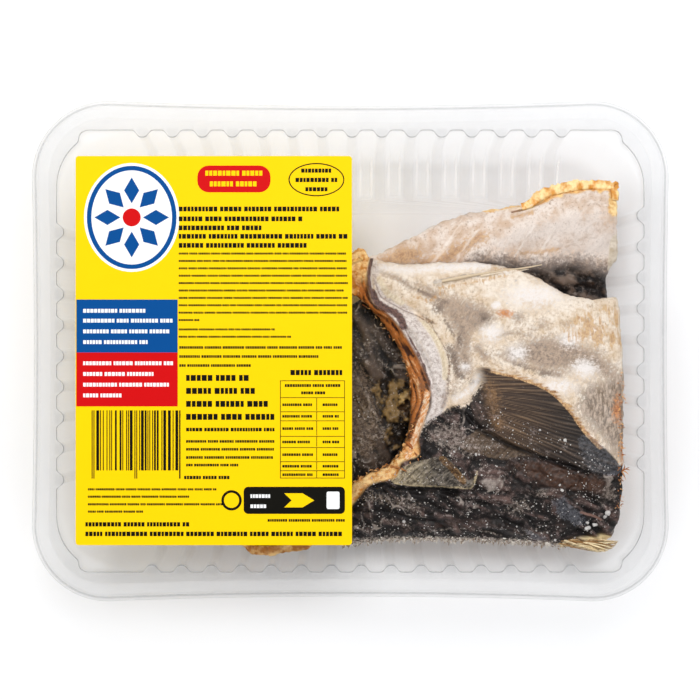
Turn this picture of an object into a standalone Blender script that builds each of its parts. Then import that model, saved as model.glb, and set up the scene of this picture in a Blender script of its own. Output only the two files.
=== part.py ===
"""A sealed retail pack of dried salted saithe cutlets.

A clear thermoformed tray with ribbed walls holds three thick cutlets of dried salted fish, two
skin side up and one leaning on both. A clear film is sealed over the flange, and a yellow paper
label is stuck on the film. All sizes below are in millimetres. The origin is on the ground
under the middle of the tray, +X runs along the tray and +Z is up.
"""

import math

import bmesh
import bpy
import numpy as np
from mathutils import Vector
from mathutils.geometry import delaunay_2d_cdt

MM = 0.001

# Tray: the outer rim is a rounded rectangle whose sides bow inward a little.
TRAY_LENGTH = 227.0
TRAY_WIDTH = 178.4
TRAY_HEIGHT = 45.0
SHEET = 0.6
RIM_CORNER = 27.3
RIM_BOW_LONG = 1.7
RIM_BOW_SHORT = 0.7
LIP_WIDTH = 1.5
LIP_DROP = 2.8

# Tray cavity, measured to the outermost wall line between two ribs.
OPENING_HALF_LENGTH = 104.2
OPENING_HALF_WIDTH = 78.4
OPENING_CORNER = 20.0
LOWER_CORNER = 22.5
LEDGE_DROP = 7.5
DRAFT = 0.078
STEEP_END = 9.4
FLOOR_EDGE_HALF_WIDTH = 69.0
CHANNEL_END_HALF_WIDTH = 58.7
PANEL_HALF_WIDTH = 57.5
PANEL_RISE = 1.2

# Ribs stand inward from the walls and run down onto the floor.
RIB_DEPTH = 2.5
RIB_TOP_HALF = 1.15
RIB_FOOT_HALF = 3.15
LONG_RIBS = 15
LONG_PITCH = 10.64
SHORT_RIBS = 9
SHORT_PITCH = 11.0
RIB_SHIFT = {"right": 4.1, "far": 0.6, "left": -1.7, "near": 3.9}
CORNER_POINTS = 7
LOBE_REACH = 96.4

# Film and label lie flat on the flange.
REST_GAP = 0.3
FILM_THICKNESS = 0.2
FILM_INSET = 1.9
LABEL_THICKNESS = 0.2
LABEL_LENGTH = 138.0
LABEL_WIDTH = 98.0
LABEL_CENTRE = (-48.4, 0.2)
LABEL_CORNER = 1.2
LABEL_ARC_STEPS = 4

# Cutlets: where they rest, how far they stay apart, and how their undersides round up.
FISH_FLOOR = SHEET + PANEL_RISE + 0.4
PIECE_GAP = 1.2
COVER_MARGIN = 8.0
COVER_SLOPE = 1.2
UNDER_RADIUS = 12.0
BACK_UNDER_LIFT = 12.0
LEFT_UNDER_LIFT = 10.0
MAIN_UNDER_LIFT = 14.5
THINNEST = 1.2
BACK_STEP = 3.9
LEFT_STEP = 4.5
MAIN_STEP = 3.1
UNDER_STEP = 7.8

# Skin heights. The large cutlet's profile runs from the near wall to the far wall.
MAIN_PROFILE_Y = [-74.0, -70.0, -66.0, -60.0, -50.0, -35.0, -20.0, 0.0, 20.0, 33.0, 38.0]
MAIN_PROFILE_Z = [20.0, 24.0, 28.0, 32.5, 36.5, 39.3, 40.3, 38.6, 34.5, 31.5, 30.5]
MAIN_CUT_FALL = 2.0
MAIN_COLLAR_FALL = 5.0
MAIN_EDGE_RADIUS = 4.0
MAIN_EDGE_DROP = 2.4
BACK_HEIGHT = 24.0
BACK_RIDGE = 4.5
LEFT_HEIGHT = 19.5
LEFT_HILL = 14.5
SIDE_EDGE_RADIUS = 6.0
BACK_EDGE_DROP = 5.0
LEFT_EDGE_DROP = 4.0

# Relief on the skin.
FOLD_HEIGHT = 0.8
FOLD_LENGTH = 4.6
ROLL_HEIGHT = 1.2
CREASE_DEPTH = 0.9
RAY_HEIGHT = 1.1
FIN_HEIGHT = 1.3
FIN_RAY_HEIGHT = 0.15
FLAP_HEIGHT = 1.4
FLESH_STEP = 2.0
FLESH_SLOPE = 0.55

# Plan outlines of the cutlets, as points on smooth closed curves.
MAIN_OUTLINE = [
    (-3.7, 32.0), (4.2, 36.5), (7.5, 34.3), (18.0, 32.1), (32.0, 32.6), (46.7, 32.5),
    (57.5, 30.7), (67.0, 27.4), (77.3, 21.3), (88.0, 19.1), (96.8, 19.3), (98.0, 5.8),
    (98.6, -8.6), (98.6, -24.8), (98.6, -44.6), (98.2, -59.0), (95.6, -68.6), (88.2, -72.4),
    (76.8, -71.7), (62.3, -70.4), (43.9, -69.6), (18.3, -69.6), (4.3, -71.0), (-3.4, -71.0),
    (-5.9, -60.8), (-3.3, -53.6), (3.5, -46.1), (13.6, -41.4), (19.0, -34.2), (21.5, -24.8),
    (21.2, -12.2), (18.6, -1.8), (12.9, 8.3), (6.4, 15.9), (-0.8, 22.7),
]
MAIN_SKIN_EDGE = [
    (7.5, 34.6), (6.2, 27.5), (7.1, 21.4), (8.9, 17.0), (14.4, 13.0), (18.7, 7.6),
    (22.7, 1.1), (26.3, -6.1), (28.8, -13.3), (29.2, -19.1), (27.0, -24.9), (24.8, -31.0),
    (24.8, -37.5), (18.7, -40.4), (16.5, -45.8), (7.8, -48.4), (3.5, -52.7), (-6.0, -66.0),
]
COLLAR_CREASE = [
    (11.8, 19.1), (17.9, 15.9), (25.1, 13.0), (29.4, 7.6), (32.7, 1.1), (34.8, -5.0),
    (35.2, -9.0),
]
BACK_OUTLINE = [
    (3.5, 32.5), (12.7, 37.3), (27.3, 44.6), (40.0, 50.0), (54.6, 52.9), (63.8, 54.4),
    (71.1, 58.8), (83.8, 61.7), (95.0, 61.9), (98.0, 59.5), (97.6, 44.2), (98.0, 34.0),
    (94.4, 27.8), (94.4, 16.8), (85.7, 7.9), (61.9, 4.0), (39.0, 9.5), (21.0, 18.5),
    (8.0, 25.0),
]
LEFT_OUTLINE = [
    (4.3, 19.4), (-5.6, 14.3), (-23.9, 11.4), (-47.6, 7.7), (-67.7, 1.1), (-79.8, -12.4),
    (-82.3, -28.8), (-75.0, -48.9), (-58.6, -63.6), (-41.2, -69.2), (-33.9, -73.2),
    (-20.6, -72.3), (-13.4, -69.9), (-10.2, -61.7), (-6.4, -56.6), (8.5, -46.5),
    (16.5, -39.5), (25.9, -20.4), (24.8, 0.4), (15.2, 13.2),
]

# Pectoral fin and the loose flap on the large cutlet, and the ray that lifts its belly skin.
# The fin's rays all point away from FIN_ROOT.
FIN_OUTLINE = [
    (43.5, -7.5), (48.9, -6.8), (58.9, -9.6), (69.6, -14.3), (80.4, -24.3), (89.3, -35.4),
    (94.6, -41.1), (89.3, -43.9), (78.6, -40.4), (67.8, -37.1), (55.3, -31.8),
    (45.7, -25.7), (42.8, -17.5),
]
FIN_ROOT = (20.6, -11.3)
FIN_RAY_STEP = math.radians(2.6)
FLAP_OUTLINE = [
    (14.6, -46.7), (19.7, -41.3), (28.7, -38.4), (34.1, -37.7), (39.5, -42.8),
    (43.1, -46.4), (45.9, -42.0), (44.5, -48.5), (42.3, -49.6), (32.3, -48.9),
    (19.7, -48.5),
]
BELLY_RAY = [(31.3, 24.6), (43.3, 27.1), (54.1, 28.8), (67.1, 30.2)]

MATERIALS = {
    # node: (base colour, roughness, alpha)
    "tray": ((0.86, 0.87, 0.88), 0.12, 0.35),
    "lidding_film": ((0.92, 0.93, 0.94), 0.08, 0.15),
    "label": ((0.95, 0.72, 0.01), 0.45, 1.0),
    "cutlet_main": ((0.30, 0.25, 0.21), 0.70, 1.0),
    "cutlet_back": ((0.62, 0.52, 0.42), 0.70, 1.0),
    "cutlet_left": ((0.09, 0.07, 0.06), 0.65, 1.0),
}


# ---------------------------------------------------------------- small plane-geometry helpers

def smoothstep(low, high, value):
    """0 below low, 1 above high, with a soft ramp between."""
    t = np.clip((value - low) / (high - low), 0.0, 1.0)
    return t * t * (3.0 - 2.0 * t)


def spline(points, spacing, closed):
    """Points every spacing along a Catmull-Rom curve through the given points."""
    control = np.array(points, float)
    if closed:
        padded = np.vstack([control[-1], control, control[0], control[1]])
    else:
        first = 2 * control[0] - control[1]
        last = 2 * control[-1] - control[-2]
        padded = np.vstack([first, control, last])
    dense = []
    share = np.linspace(0.0, 1.0, 12, endpoint=False)[:, None]
    for a, b, c, d in zip(padded[:-3], padded[1:-2], padded[2:-1], padded[3:]):
        square = share ** 2
        cube = share ** 3
        dense.append(0.5 * (2 * b + (c - a) * share + (2 * a - 5 * b + 4 * c - d) * square
                            + (3 * b - a - 3 * c + d) * cube))
    dense.append(padded[-2][None])
    dense = np.vstack(dense)
    run = np.concatenate([[0.0], np.cumsum(np.linalg.norm(np.diff(dense, axis=0), axis=1))])
    count = max(3, round(run[-1] / spacing))
    stops = np.linspace(0.0, run[-1], count + 1)
    if closed:
        stops = stops[:-1]
    return np.column_stack([np.interp(stops, run, dense[:, i]) for i in (0, 1)])


def distance(points, line, closed):
    """Shortest distance of each point to a polyline."""
    ends = np.vstack([line, line[:1]]) if closed else line
    best = np.full(len(points), 1e9)
    for a, b in zip(ends[:-1], ends[1:]):
        along = b - a
        share = np.clip((points - a) @ along / max(along @ along, 1e-12), 0.0, 1.0)
        gap = np.linalg.norm(points - a - share[:, None] * along, axis=1)
        best = np.minimum(best, gap)
    return best


def inside(points, loop):
    """True for each point that lies inside a closed loop."""
    result = np.zeros(len(points), bool)
    x, y = points[:, 0], points[:, 1]
    for (ax, ay), (bx, by) in zip(loop, np.roll(loop, -1, axis=0)):
        crosses = (ay > y) != (by > y)
        slope = (bx - ax) / (by - ay) if by != ay else 0.0
        result ^= crosses & (x < ax + (y - ay) * slope)
    return result


def depth(points, loop):
    """Distance to a closed loop, positive inside it and negative outside."""
    return np.where(inside(points, loop), 1.0, -1.0) * distance(points, loop, True)


def triangulate(points, loops):
    """Triangles over the first loop and outside the others; loops are runs of point numbers."""
    edges = [(a, b) for loop in loops for a, b in zip(loop, list(loop[1:]) + [loop[0]])]
    flat = [Vector((float(x), float(y))) for x, y in points]
    found = delaunay_2d_cdt(flat, edges, [], 0, 1e-6)
    origin = [numbers[0] for numbers in found[3]]
    triangles = np.array([[origin[i] for i in face] for face in found[2]])
    middle = points[triangles].mean(axis=1)
    keep = inside(middle, points[loops[0]])
    for hole in loops[1:]:
        keep &= ~inside(middle, points[hole])
    return [tuple(int(i) for i in face) for face in triangles[keep]]


def hexagonal(loop, spacing, margin):
    """Points of a hexagonal grid inside a loop, at least margin away from it."""
    low, high = loop.min(axis=0), loop.max(axis=0)
    row_step = spacing * math.sqrt(3) / 2
    rows = np.arange(low[1], high[1], row_step)
    grid = [(x + (k % 2) * spacing / 2, y)
            for k, y in enumerate(rows) for x in np.arange(low[0], high[0], spacing)]
    grid = np.array(grid)
    return grid[depth(grid, loop) > margin]


def add_object(name, vertices, faces):
    """One closed object from points in millimetres, with its own material."""
    mesh = bpy.data.meshes.new(name)
    mesh.from_pydata([[c * MM for c in v] for v in vertices], [], faces)
    work = bmesh.new()
    work.from_mesh(mesh)
    bmesh.ops.recalc_face_normals(work, faces=work.faces[:])
    bmesh.ops.triangulate(work, faces=work.faces[:])
    work.to_mesh(mesh)
    work.free()
    mesh.shade_smooth()
    mesh.set_sharp_from_angle(angle=math.radians(40))
    colour, roughness, alpha = MATERIALS[name]
    material = bpy.data.materials.new(name)
    material.use_nodes = True
    shader = material.node_tree.nodes["Principled BSDF"]
    shader.inputs["Base Color"].default_value = (*colour, 1.0)
    shader.inputs["Roughness"].default_value = roughness
    shader.inputs["Metallic"].default_value = 0.0
    shader.inputs["Alpha"].default_value = alpha
    mesh.materials.append(material)
    piece = bpy.data.objects.new(name, mesh)
    bpy.context.scene.collection.objects.link(piece)
    return piece


# ---------------------------------------------------------------- tray

def rib_stops(side, narrow):
    """(place along the side, on a rib) for the four points of every rib of one side."""
    long_side = side in ("far", "near")
    count, pitch = (LONG_RIBS, LONG_PITCH) if long_side else (SHORT_RIBS, SHORT_PITCH)
    stops = []
    for k in range(count):
        centre = (k - (count - 1) / 2) * pitch + RIB_SHIFT[side]
        foot, top = RIB_FOOT_HALF - narrow, RIB_TOP_HALF - narrow
        stops += [(centre - foot, 0), (centre - top, 1), (centre + top, 1), (centre + foot, 0)]
    return stops


def wall_line(place, half, radius, straight_half):
    """Distance from the middle to a rounded rectangle's side at a place along that side."""
    past = min(abs(place) - straight_half, radius)
    if past <= 0:
        return half
    return half - radius + math.sqrt(radius ** 2 - past ** 2)


def cavity_ring(half_width, corner, rib_depth, narrow=0.0, lobed=False):
    """One ring of the cavity wall, anticlockwise from the right side: points and rib marks."""
    half_length = half_width + OPENING_HALF_LENGTH - OPENING_HALF_WIDTH
    straight_x = half_length - corner
    straight_y = half_width - corner
    runs = {}
    for side in RIB_SHIFT:
        half, straight = (half_width, straight_x) if side in ("far", "near") else (
            half_length, straight_y)
        runs[side] = [(t, wall_line(t, half, corner, straight) - rib_depth * on_rib, on_rib)
                      for t, on_rib in rib_stops(side, narrow)]

    def corner_run(end_x, end_y):
        """Corner points in the first quadrant, from the short side to the long side."""
        if lobed:
            grow = half_width - OPENING_HALF_WIDTH
            arc = [(straight_x + corner * math.cos(a), straight_y + corner * math.sin(a))
                   for a in (math.radians(d) for d in (0, 18, 35, 50))]
            reach = LOBE_REACH + grow
            return arc + [(reach, half_width - 2.5), (reach - 0.8, half_width - 0.9),
                          (reach - 2.8, half_width)]
        low = math.asin(max(0.0, min(1.0, (end_y - straight_y) / corner)))
        high = math.acos(max(0.0, min(1.0, (end_x - straight_x) / corner)))
        angles = [low + (high - low) * k / (CORNER_POINTS + 1)
                  for k in range(1, CORNER_POINTS + 1)]
        return [(straight_x + corner * math.cos(a), straight_y + corner * math.sin(a))
                for a in angles]

    last = {side: [abs(runs[side][0][0]), abs(runs[side][-1][0])] for side in runs}
    ring = [(w, t, r) for t, w, r in runs["right"]]
    ring += [(x, y, 0) for x, y in corner_run(last["far"][1], last["right"][1])]
    ring += [(t, w, r) for t, w, r in reversed(runs["far"])]
    ring += [(-x, y, 0) for x, y in reversed(corner_run(last["far"][0], last["left"][1]))]
    ring += [(-w, t, r) for t, w, r in reversed(runs["left"])]
    ring += [(-x, -y, 0) for x, y in corner_run(last["near"][0], last["left"][0])]
    ring += [(t, -w, r) for t, w, r in runs["near"]]
    ring += [(x, -y, 0) for x, y in reversed(corner_run(last["near"][1], last["right"][0]))]
    return ring


def level(half_width, corner, height, rib_depth, rib_rise=0.0, narrow=0.0, lobed=False):
    """A cavity ring lifted to its height, with its rib points raised by rib_rise."""
    ring = cavity_ring(half_width, corner, rib_depth, narrow, lobed)
    return [(x, y, height + rib_rise * on_rib) for x, y, on_rib in ring]


def rim_loop(inset, height):
    """The outer rim moved inward by inset, anticlockwise from the right side's lower end."""
    half_x = TRAY_LENGTH / 2 - inset
    half_y = TRAY_WIDTH / 2 - inset
    radius = RIM_CORNER - inset
    straight_x = half_x - radius
    straight_y = half_y - radius

    def bowed(half, straight, bow, stops):
        return [(t, half - bow * (1 - (t / straight) ** 2))
                for t in np.linspace(-straight, straight, stops)]

    short = bowed(half_x, straight_y, RIM_BOW_SHORT, 9)
    long = bowed(half_y, straight_x, RIM_BOW_LONG, 13)
    arc = [(straight_x + radius * math.cos(a), straight_y + radius * math.sin(a))
           for a in np.linspace(0.0, math.pi / 2, 9)[1:-1]]
    loop = [(w, t) for t, w in short] + arc
    loop += [(-t, w) for t, w in long] + [(-x, y) for x, y in reversed(arc)]
    loop += [(-w, -t) for t, w in short] + [(-x, -y) for x, y in arc]
    loop += [(t, -w) for t, w in long] + [(x, -y) for x, y in reversed(arc)]
    return [(x, y, height) for x, y in loop]


def cavity_levels(outer):
    """The cavity wall from the rim down to the floor panel; outer=True is the tray's outside."""
    grow = SHEET if outer else 0.0
    narrow = SHEET / 2 if outer else 0.0
    lift = 0.0 if outer else SHEET
    top = TRAY_HEIGHT - grow
    ledge = TRAY_HEIGHT - LEDGE_DROP - grow
    ledge_width = OPENING_HALF_WIDTH - DRAFT * LEDGE_DROP + grow
    steep_width = OPENING_HALF_WIDTH - DRAFT * (TRAY_HEIGHT - STEEP_END) + grow
    return [
        level(OPENING_HALF_WIDTH + grow, OPENING_CORNER + grow, top, RIB_DEPTH, 0, narrow, True),
        level(ledge_width, OPENING_CORNER + grow, ledge + 0.2, RIB_DEPTH, 0, narrow, True),
        level(ledge_width - 0.1, LOWER_CORNER + grow, ledge, RIB_DEPTH, 0, narrow),
        level(steep_width, LOWER_CORNER - 1, STEEP_END, 0.94 * RIB_DEPTH, 0, narrow),
        level(FLOOR_EDGE_HALF_WIDTH + grow / 2, 22.0, lift, 1.5, PANEL_RISE, narrow),
        level(CHANNEL_END_HALF_WIDTH, 11.2, lift, 0.0, PANEL_RISE, narrow),
        level(PANEL_HALF_WIDTH, 10.0, lift + PANEL_RISE, 0.0, 0.0, narrow),
    ]


def make_tray():
    """Flange, turned-down lip, ribbed walls and channelled floor, one sheet thick."""
    inner = cavity_levels(False)
    outer = cavity_levels(True)
    rim = [
        rim_loop(LIP_WIDTH, TRAY_HEIGHT),
        rim_loop(0.0, TRAY_HEIGHT - LIP_DROP),
        rim_loop(SHEET, TRAY_HEIGHT - LIP_DROP),
        rim_loop(LIP_WIDTH + SHEET / 2, TRAY_HEIGHT - SHEET),
    ]
    vertices = []
    faces = []

    def place(loop):
        start = len(vertices)
        vertices.extend(loop)
        return list(range(start, len(vertices)))

    def join(rows):
        for a, b in zip(rows[:-1], rows[1:]):
            for i in range(len(a)):
                j = (i + 1) % len(a)
                faces.append((a[i], a[j], b[j]))
                faces.append((a[i], b[j], b[i]))

    def flat(loops):
        numbers = [n for loop in loops for n in loop]
        points = np.array([vertices[n][:2] for n in numbers])
        runs = []
        start = 0
        for loop in loops:
            runs.append(list(range(start, start + len(loop))))
            start += len(loop)
        faces.extend(tuple(numbers[i] for i in face) for face in triangulate(points, runs))

    inner_rows = [place(loop) for loop in inner]
    outer_rows = [place(loop) for loop in outer]
    rim_rows = [place(loop) for loop in rim]
    join(inner_rows)
    join(outer_rows)
    join(rim_rows)
    flat([rim_rows[0], inner_rows[0]])
    flat([rim_rows[3], outer_rows[0]])
    flat([inner_rows[-1]])
    flat([outer_rows[-1]])
    return add_object("tray", vertices, faces)


# ---------------------------------------------------------------- film and label

def plate(name, loop, low, high):
    """A flat plate between two heights on a plan loop."""
    count = len(loop)
    vertices = [(x, y, low) for x, y in loop] + [(x, y, high) for x, y in loop]
    cap = triangulate(np.array(loop), [list(range(count))])
    faces = [face[::-1] for face in cap]
    faces += [tuple(i + count for i in face) for face in cap]
    for i in range(count):
        j = (i + 1) % count
        faces.append((i, j, j + count, i + count))
    return add_object(name, vertices, faces)


def make_film():
    low = TRAY_HEIGHT + REST_GAP
    loop = [(x, y) for x, y, _ in rim_loop(FILM_INSET, low)]
    return plate("lidding_film", loop, low, low + FILM_THICKNESS)


def make_label():
    low = TRAY_HEIGHT + FILM_THICKNESS + 2 * REST_GAP
    centre_x, centre_y = LABEL_CENTRE
    loop = []
    for quarter, (sign_x, sign_y) in enumerate([(1, 1), (-1, 1), (-1, -1), (1, -1)]):
        corner_x = centre_x + sign_x * (LABEL_WIDTH / 2 - LABEL_CORNER)
        corner_y = centre_y + sign_y * (LABEL_LENGTH / 2 - LABEL_CORNER)
        for k in range(LABEL_ARC_STEPS + 1):
            angle = (quarter + k / LABEL_ARC_STEPS) * math.pi / 2
            loop.append((corner_x + LABEL_CORNER * math.cos(angle),
                         corner_y + LABEL_CORNER * math.sin(angle)))
    return plate("label", loop, low, low + LABEL_THICKNESS)


# ---------------------------------------------------------------- cutlets

def rounded_drop(gap, radius, drop):
    """How far a surface falls near an edge: drop at the edge, nothing past radius."""
    t = np.clip(1.0 - gap / radius, 0.0, 1.0)
    return drop * (1.0 - np.sqrt(1.0 - t ** 2))


def bump(points, centre, spread, height):
    """A soft round hill."""
    x, y = (points - np.array(centre)).T
    return height * np.exp(-(x / spread[0]) ** 2 - (y / spread[1]) ** 2)


BACK_LOOP = spline(BACK_OUTLINE, BACK_STEP, True)
LEFT_LOOP = spline(LEFT_OUTLINE, LEFT_STEP, True)
MAIN_LOOP = spline(MAIN_OUTLINE, MAIN_STEP, True)
FIN_LOOP = spline(FIN_OUTLINE, MAIN_STEP, True)
FLAP_LOOP = spline(FLAP_OUTLINE, MAIN_STEP, True)
SKIN_LINE = spline(MAIN_SKIN_EDGE, MAIN_STEP, False)
CREASE_LINE = spline(COLLAR_CREASE, MAIN_STEP, False)
RAY_LINE = spline(BELLY_RAY, MAIN_STEP, False)


def back_crown(points):
    """The smooth skin height of the cutlet at the far side, without its rounded edges."""
    x, y = points.T
    height = BACK_HEIGHT + BACK_RIDGE * np.exp(-((y - 42.0) / 14.0) ** 2)
    height += 1.5 * smoothstep(20.0, 90.0, x) - 3.0 * smoothstep(30.0, 18.0, y)
    return height + 0.5 * np.sin(0.32 * x + 0.14 * y)


def back_top(points):
    """The far cutlet from above; its far corner shows a lower band of flesh past the skin."""
    edge = distance(points, BACK_LOOP, True)
    x, y = points.T
    flesh = smoothstep(40.0, 62.0, x) * smoothstep(50.0, 56.0, y) * smoothstep(4.5, 3.0, edge)
    drop = rounded_drop(edge, SIDE_EDGE_RADIUS, BACK_EDGE_DROP)
    return back_crown(points) - drop - 1.6 * flesh


def left_crown(points):
    """The smooth skin height of the cutlet under the label: low at the collar, high in front."""
    x, y = points.T
    hill = bump(points, (-34.0, -63.0), (28.0, 32.0), LEFT_HILL)
    return LEFT_HEIGHT + hill + 0.7 * np.sin(0.16 * x - 0.22 * y)


def left_top(points):
    """The cutlet under the label from above."""
    edge = distance(points, LEFT_LOOP, True)
    return left_crown(points) - rounded_drop(edge, SIDE_EDGE_RADIUS, LEFT_EDGE_DROP)


def main_skin(points):
    """The large cutlet's skin: white belly at the far side, high flank, back rolling down."""
    x, y = points.T
    height = np.interp(y, MAIN_PROFILE_Y, MAIN_PROFILE_Z)
    height -= MAIN_CUT_FALL * smoothstep(84.0, 99.0, x)
    height -= MAIN_COLLAR_FALL * smoothstep(34.0, 6.0, x)
    height += bump(points, (22.0, 27.0), (16.0, 4.5), 1.6)
    height -= bump(points, (25.0, 20.0), (10.0, 2.5), 1.3)
    folds = smoothstep(-46.0, -52.0, y) * smoothstep(-72.0, -68.0, y)
    height += FOLD_HEIGHT * folds * np.sin(2 * math.pi * y / FOLD_LENGTH + 0.04 * x)
    crease = distance(points, CREASE_LINE, False)
    height += ROLL_HEIGHT * np.exp(-((crease - 4.5) / 2.5) ** 2)
    height -= CREASE_DEPTH * np.exp(-(crease / 1.2) ** 2)
    ray = distance(points, RAY_LINE, False)
    return height + RAY_HEIGHT * np.exp(-(ray / 1.3) ** 2)


def flesh_side(points):
    """True where the cut flesh shows past the skin's edge at the collar."""
    closing = np.array([(-30.0, -66.0), (-30.0, 50.0), (7.5, 50.0)])
    return inside(points, np.vstack([SKIN_LINE, closing]))


def main_top(points):
    """The large cutlet seen from above: skin, its flesh band at the collar, fin and flap."""
    x, y = points.T
    edge = distance(points, MAIN_LOOP, True)
    height = main_skin(points) - rounded_drop(edge, MAIN_EDGE_RADIUS, MAIN_EDGE_DROP)
    fin = smoothstep(-0.2, 0.8, depth(points, FIN_LOOP))
    bearing = np.arctan2(y - FIN_ROOT[1], x - FIN_ROOT[0])
    rays = np.cos(2 * math.pi * bearing / FIN_RAY_STEP)
    height += fin * (FIN_HEIGHT + FIN_RAY_HEIGHT * rays)
    flap = smoothstep(-0.2, 0.8, depth(points, FLAP_LOOP))
    height += flap * FLAP_HEIGHT * smoothstep(-34.0, -48.0, y)
    skin_gap = distance(points, SKIN_LINE, False)
    flesh_drop = FLESH_STEP + FLESH_SLOPE * skin_gap
    skin_drop = 1.6 * np.exp(-(skin_gap / 1.6) ** 2)
    return height - np.where(flesh_side(points), flesh_drop, skin_drop)


def cover(points, loop, crown):
    """The lowest underside that clears another cutlet, sloping off beside it."""
    away = np.maximum(0.0, -depth(points, loop) - COVER_MARGIN)
    return crown(points) + PIECE_GAP - COVER_SLOPE * away


def underside(edge_lift, loop, others=()):
    """The height of a cutlet's underside, resting on the floor and on the pieces below it."""
    def height(points):
        edge = distance(points, loop, True)
        low = FISH_FLOOR + rounded_drop(edge, UNDER_RADIUS, edge_lift)
        for other_loop, crown in others:
            low = np.maximum(low, cover(points, other_loop, crown))
        return low
    return height


def make_cutlet(name, loop, top, bottom, step, features=()):
    """A slab between two height functions on one plan outline, with a side strip."""
    count = len(loop)
    grid = hexagonal(loop, step, 0.6 * step)
    for line in features:
        grid = grid[distance(grid, line, False) > 0.55 * step]
    on_lines = [line[depth(line, loop) > 0.5 * step] for line in features]
    upper = np.vstack([loop, grid, *on_lines])
    lower = np.vstack([loop, hexagonal(loop, UNDER_STEP, UNDER_STEP / 2)])
    rim = list(range(count))
    first_low = len(upper)
    high = np.maximum(top(upper), bottom(upper) + THINNEST)
    vertices = [(x, y, z) for (x, y), z in zip(upper, high)]
    vertices += [(x, y, z) for (x, y), z in zip(lower, bottom(lower))]
    faces = triangulate(upper, [rim])
    faces += [tuple(i + first_low for i in face[::-1]) for face in triangulate(lower, [rim])]
    for i in rim:
        j = (i + 1) % count
        faces.append((i, j, j + first_low))
        faces.append((i, j + first_low, i + first_low))
    return add_object(name, vertices, faces)


def build():
    for old in list(bpy.data.objects):
        bpy.data.objects.remove(old)
    make_tray()
    make_film()
    make_label()
    make_cutlet("cutlet_back", BACK_LOOP, back_top,
                underside(BACK_UNDER_LIFT, BACK_LOOP), BACK_STEP)
    make_cutlet("cutlet_left", LEFT_LOOP, left_top,
                underside(LEFT_UNDER_LIFT, LEFT_LOOP), LEFT_STEP)
    below = [(BACK_LOOP, back_crown), (LEFT_LOOP, left_crown)]
    make_cutlet("cutlet_main", MAIN_LOOP, main_top,
                underside(MAIN_UNDER_LIFT, MAIN_LOOP, below), MAIN_STEP,
                [SKIN_LINE, FIN_LOOP, FLAP_LOOP, CREASE_LINE, RAY_LINE])


build()
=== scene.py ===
# %% [markdown]
# # A sealed tray of dried salted saithe
#
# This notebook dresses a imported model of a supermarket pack: a clear ribbed tray, the clear film
# sealed over it, a yellow paper label, and three thick cutlets of dried salted fish. The packed
# solids already have the right sizes and places. Here each one gets the fine shape and the finish
# that the real thing has, and every piece stays exactly where its solid is.
#
# Work is done in millimetres, because a pack is measured in them, and turned into metres only
# when a mesh is made.

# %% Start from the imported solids
import math

import bmesh
import bpy
import numpy as np
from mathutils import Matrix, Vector
from mathutils.geometry import delaunay_2d_cdt


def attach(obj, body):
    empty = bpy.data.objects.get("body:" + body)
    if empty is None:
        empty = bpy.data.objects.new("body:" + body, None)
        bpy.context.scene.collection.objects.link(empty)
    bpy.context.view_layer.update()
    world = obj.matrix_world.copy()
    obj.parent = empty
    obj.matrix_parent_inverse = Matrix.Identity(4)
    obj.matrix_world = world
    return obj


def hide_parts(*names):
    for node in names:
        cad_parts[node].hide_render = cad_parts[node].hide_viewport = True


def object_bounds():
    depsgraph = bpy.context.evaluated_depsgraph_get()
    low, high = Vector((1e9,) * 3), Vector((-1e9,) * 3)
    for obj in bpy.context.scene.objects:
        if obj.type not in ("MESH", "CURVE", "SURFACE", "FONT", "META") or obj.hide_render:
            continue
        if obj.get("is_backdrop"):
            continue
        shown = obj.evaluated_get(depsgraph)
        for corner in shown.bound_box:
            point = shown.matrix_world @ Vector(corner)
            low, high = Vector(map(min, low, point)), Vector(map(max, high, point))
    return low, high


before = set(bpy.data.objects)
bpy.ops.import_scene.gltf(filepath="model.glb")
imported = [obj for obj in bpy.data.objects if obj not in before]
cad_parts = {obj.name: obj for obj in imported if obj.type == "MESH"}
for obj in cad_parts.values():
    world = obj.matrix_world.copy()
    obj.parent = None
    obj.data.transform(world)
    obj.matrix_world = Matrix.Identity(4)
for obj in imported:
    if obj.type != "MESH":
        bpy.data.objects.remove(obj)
cad_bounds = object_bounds()
MM = 0.001
print("nodes:", sorted(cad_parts))

# %% [markdown]
# ## Camera, floor and light
#
# The photograph looks straight down, so the camera hangs over the middle of the tray. A long lens
# keeps the walls steep, as they are in the picture. The floor is a plain white sheet. The light is
# a large soft box behind the pack with weaker ones at its sides: a big source gives the soft edge
# of shadow in front of the tray, and long clean streaks along the clear walls. All of them stay
# out of the cone that the film would mirror straight into the lens.

# %% Camera
CAMERA_HEIGHT = 725 * MM
CAMERA_PLACE = (-0.1 * MM, 0.4 * MM, CAMERA_HEIGHT)
LENS = 98.5
SENSOR = 36

view = bpy.data.cameras.new("camera")
view.lens = LENS
view.sensor_width = SENSOR
camera = bpy.data.objects.new("camera", view)
camera.location = CAMERA_PLACE
bpy.context.scene.collection.objects.link(camera)
bpy.context.scene.camera = camera
bpy.context.scene.view_settings.view_transform = "Standard"
# A ray through this pack meets film, walls and floor, two faces each.
bpy.context.scene.cycles.transparent_max_bounces = 24
print("lens", LENS, "mm at", CAMERA_HEIGHT, "m")

# %% [markdown]
# ## Writing shaders as sums
#
# A material is a graph of nodes, and a long graph is hard to read when each node is made by hand.
# Here a node's output is wrapped in a small class, so that ordinary arithmetic on it adds the Math
# nodes, and every other node comes from one method. Colours go through Mix nodes, because a Math
# node would turn them grey.

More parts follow.
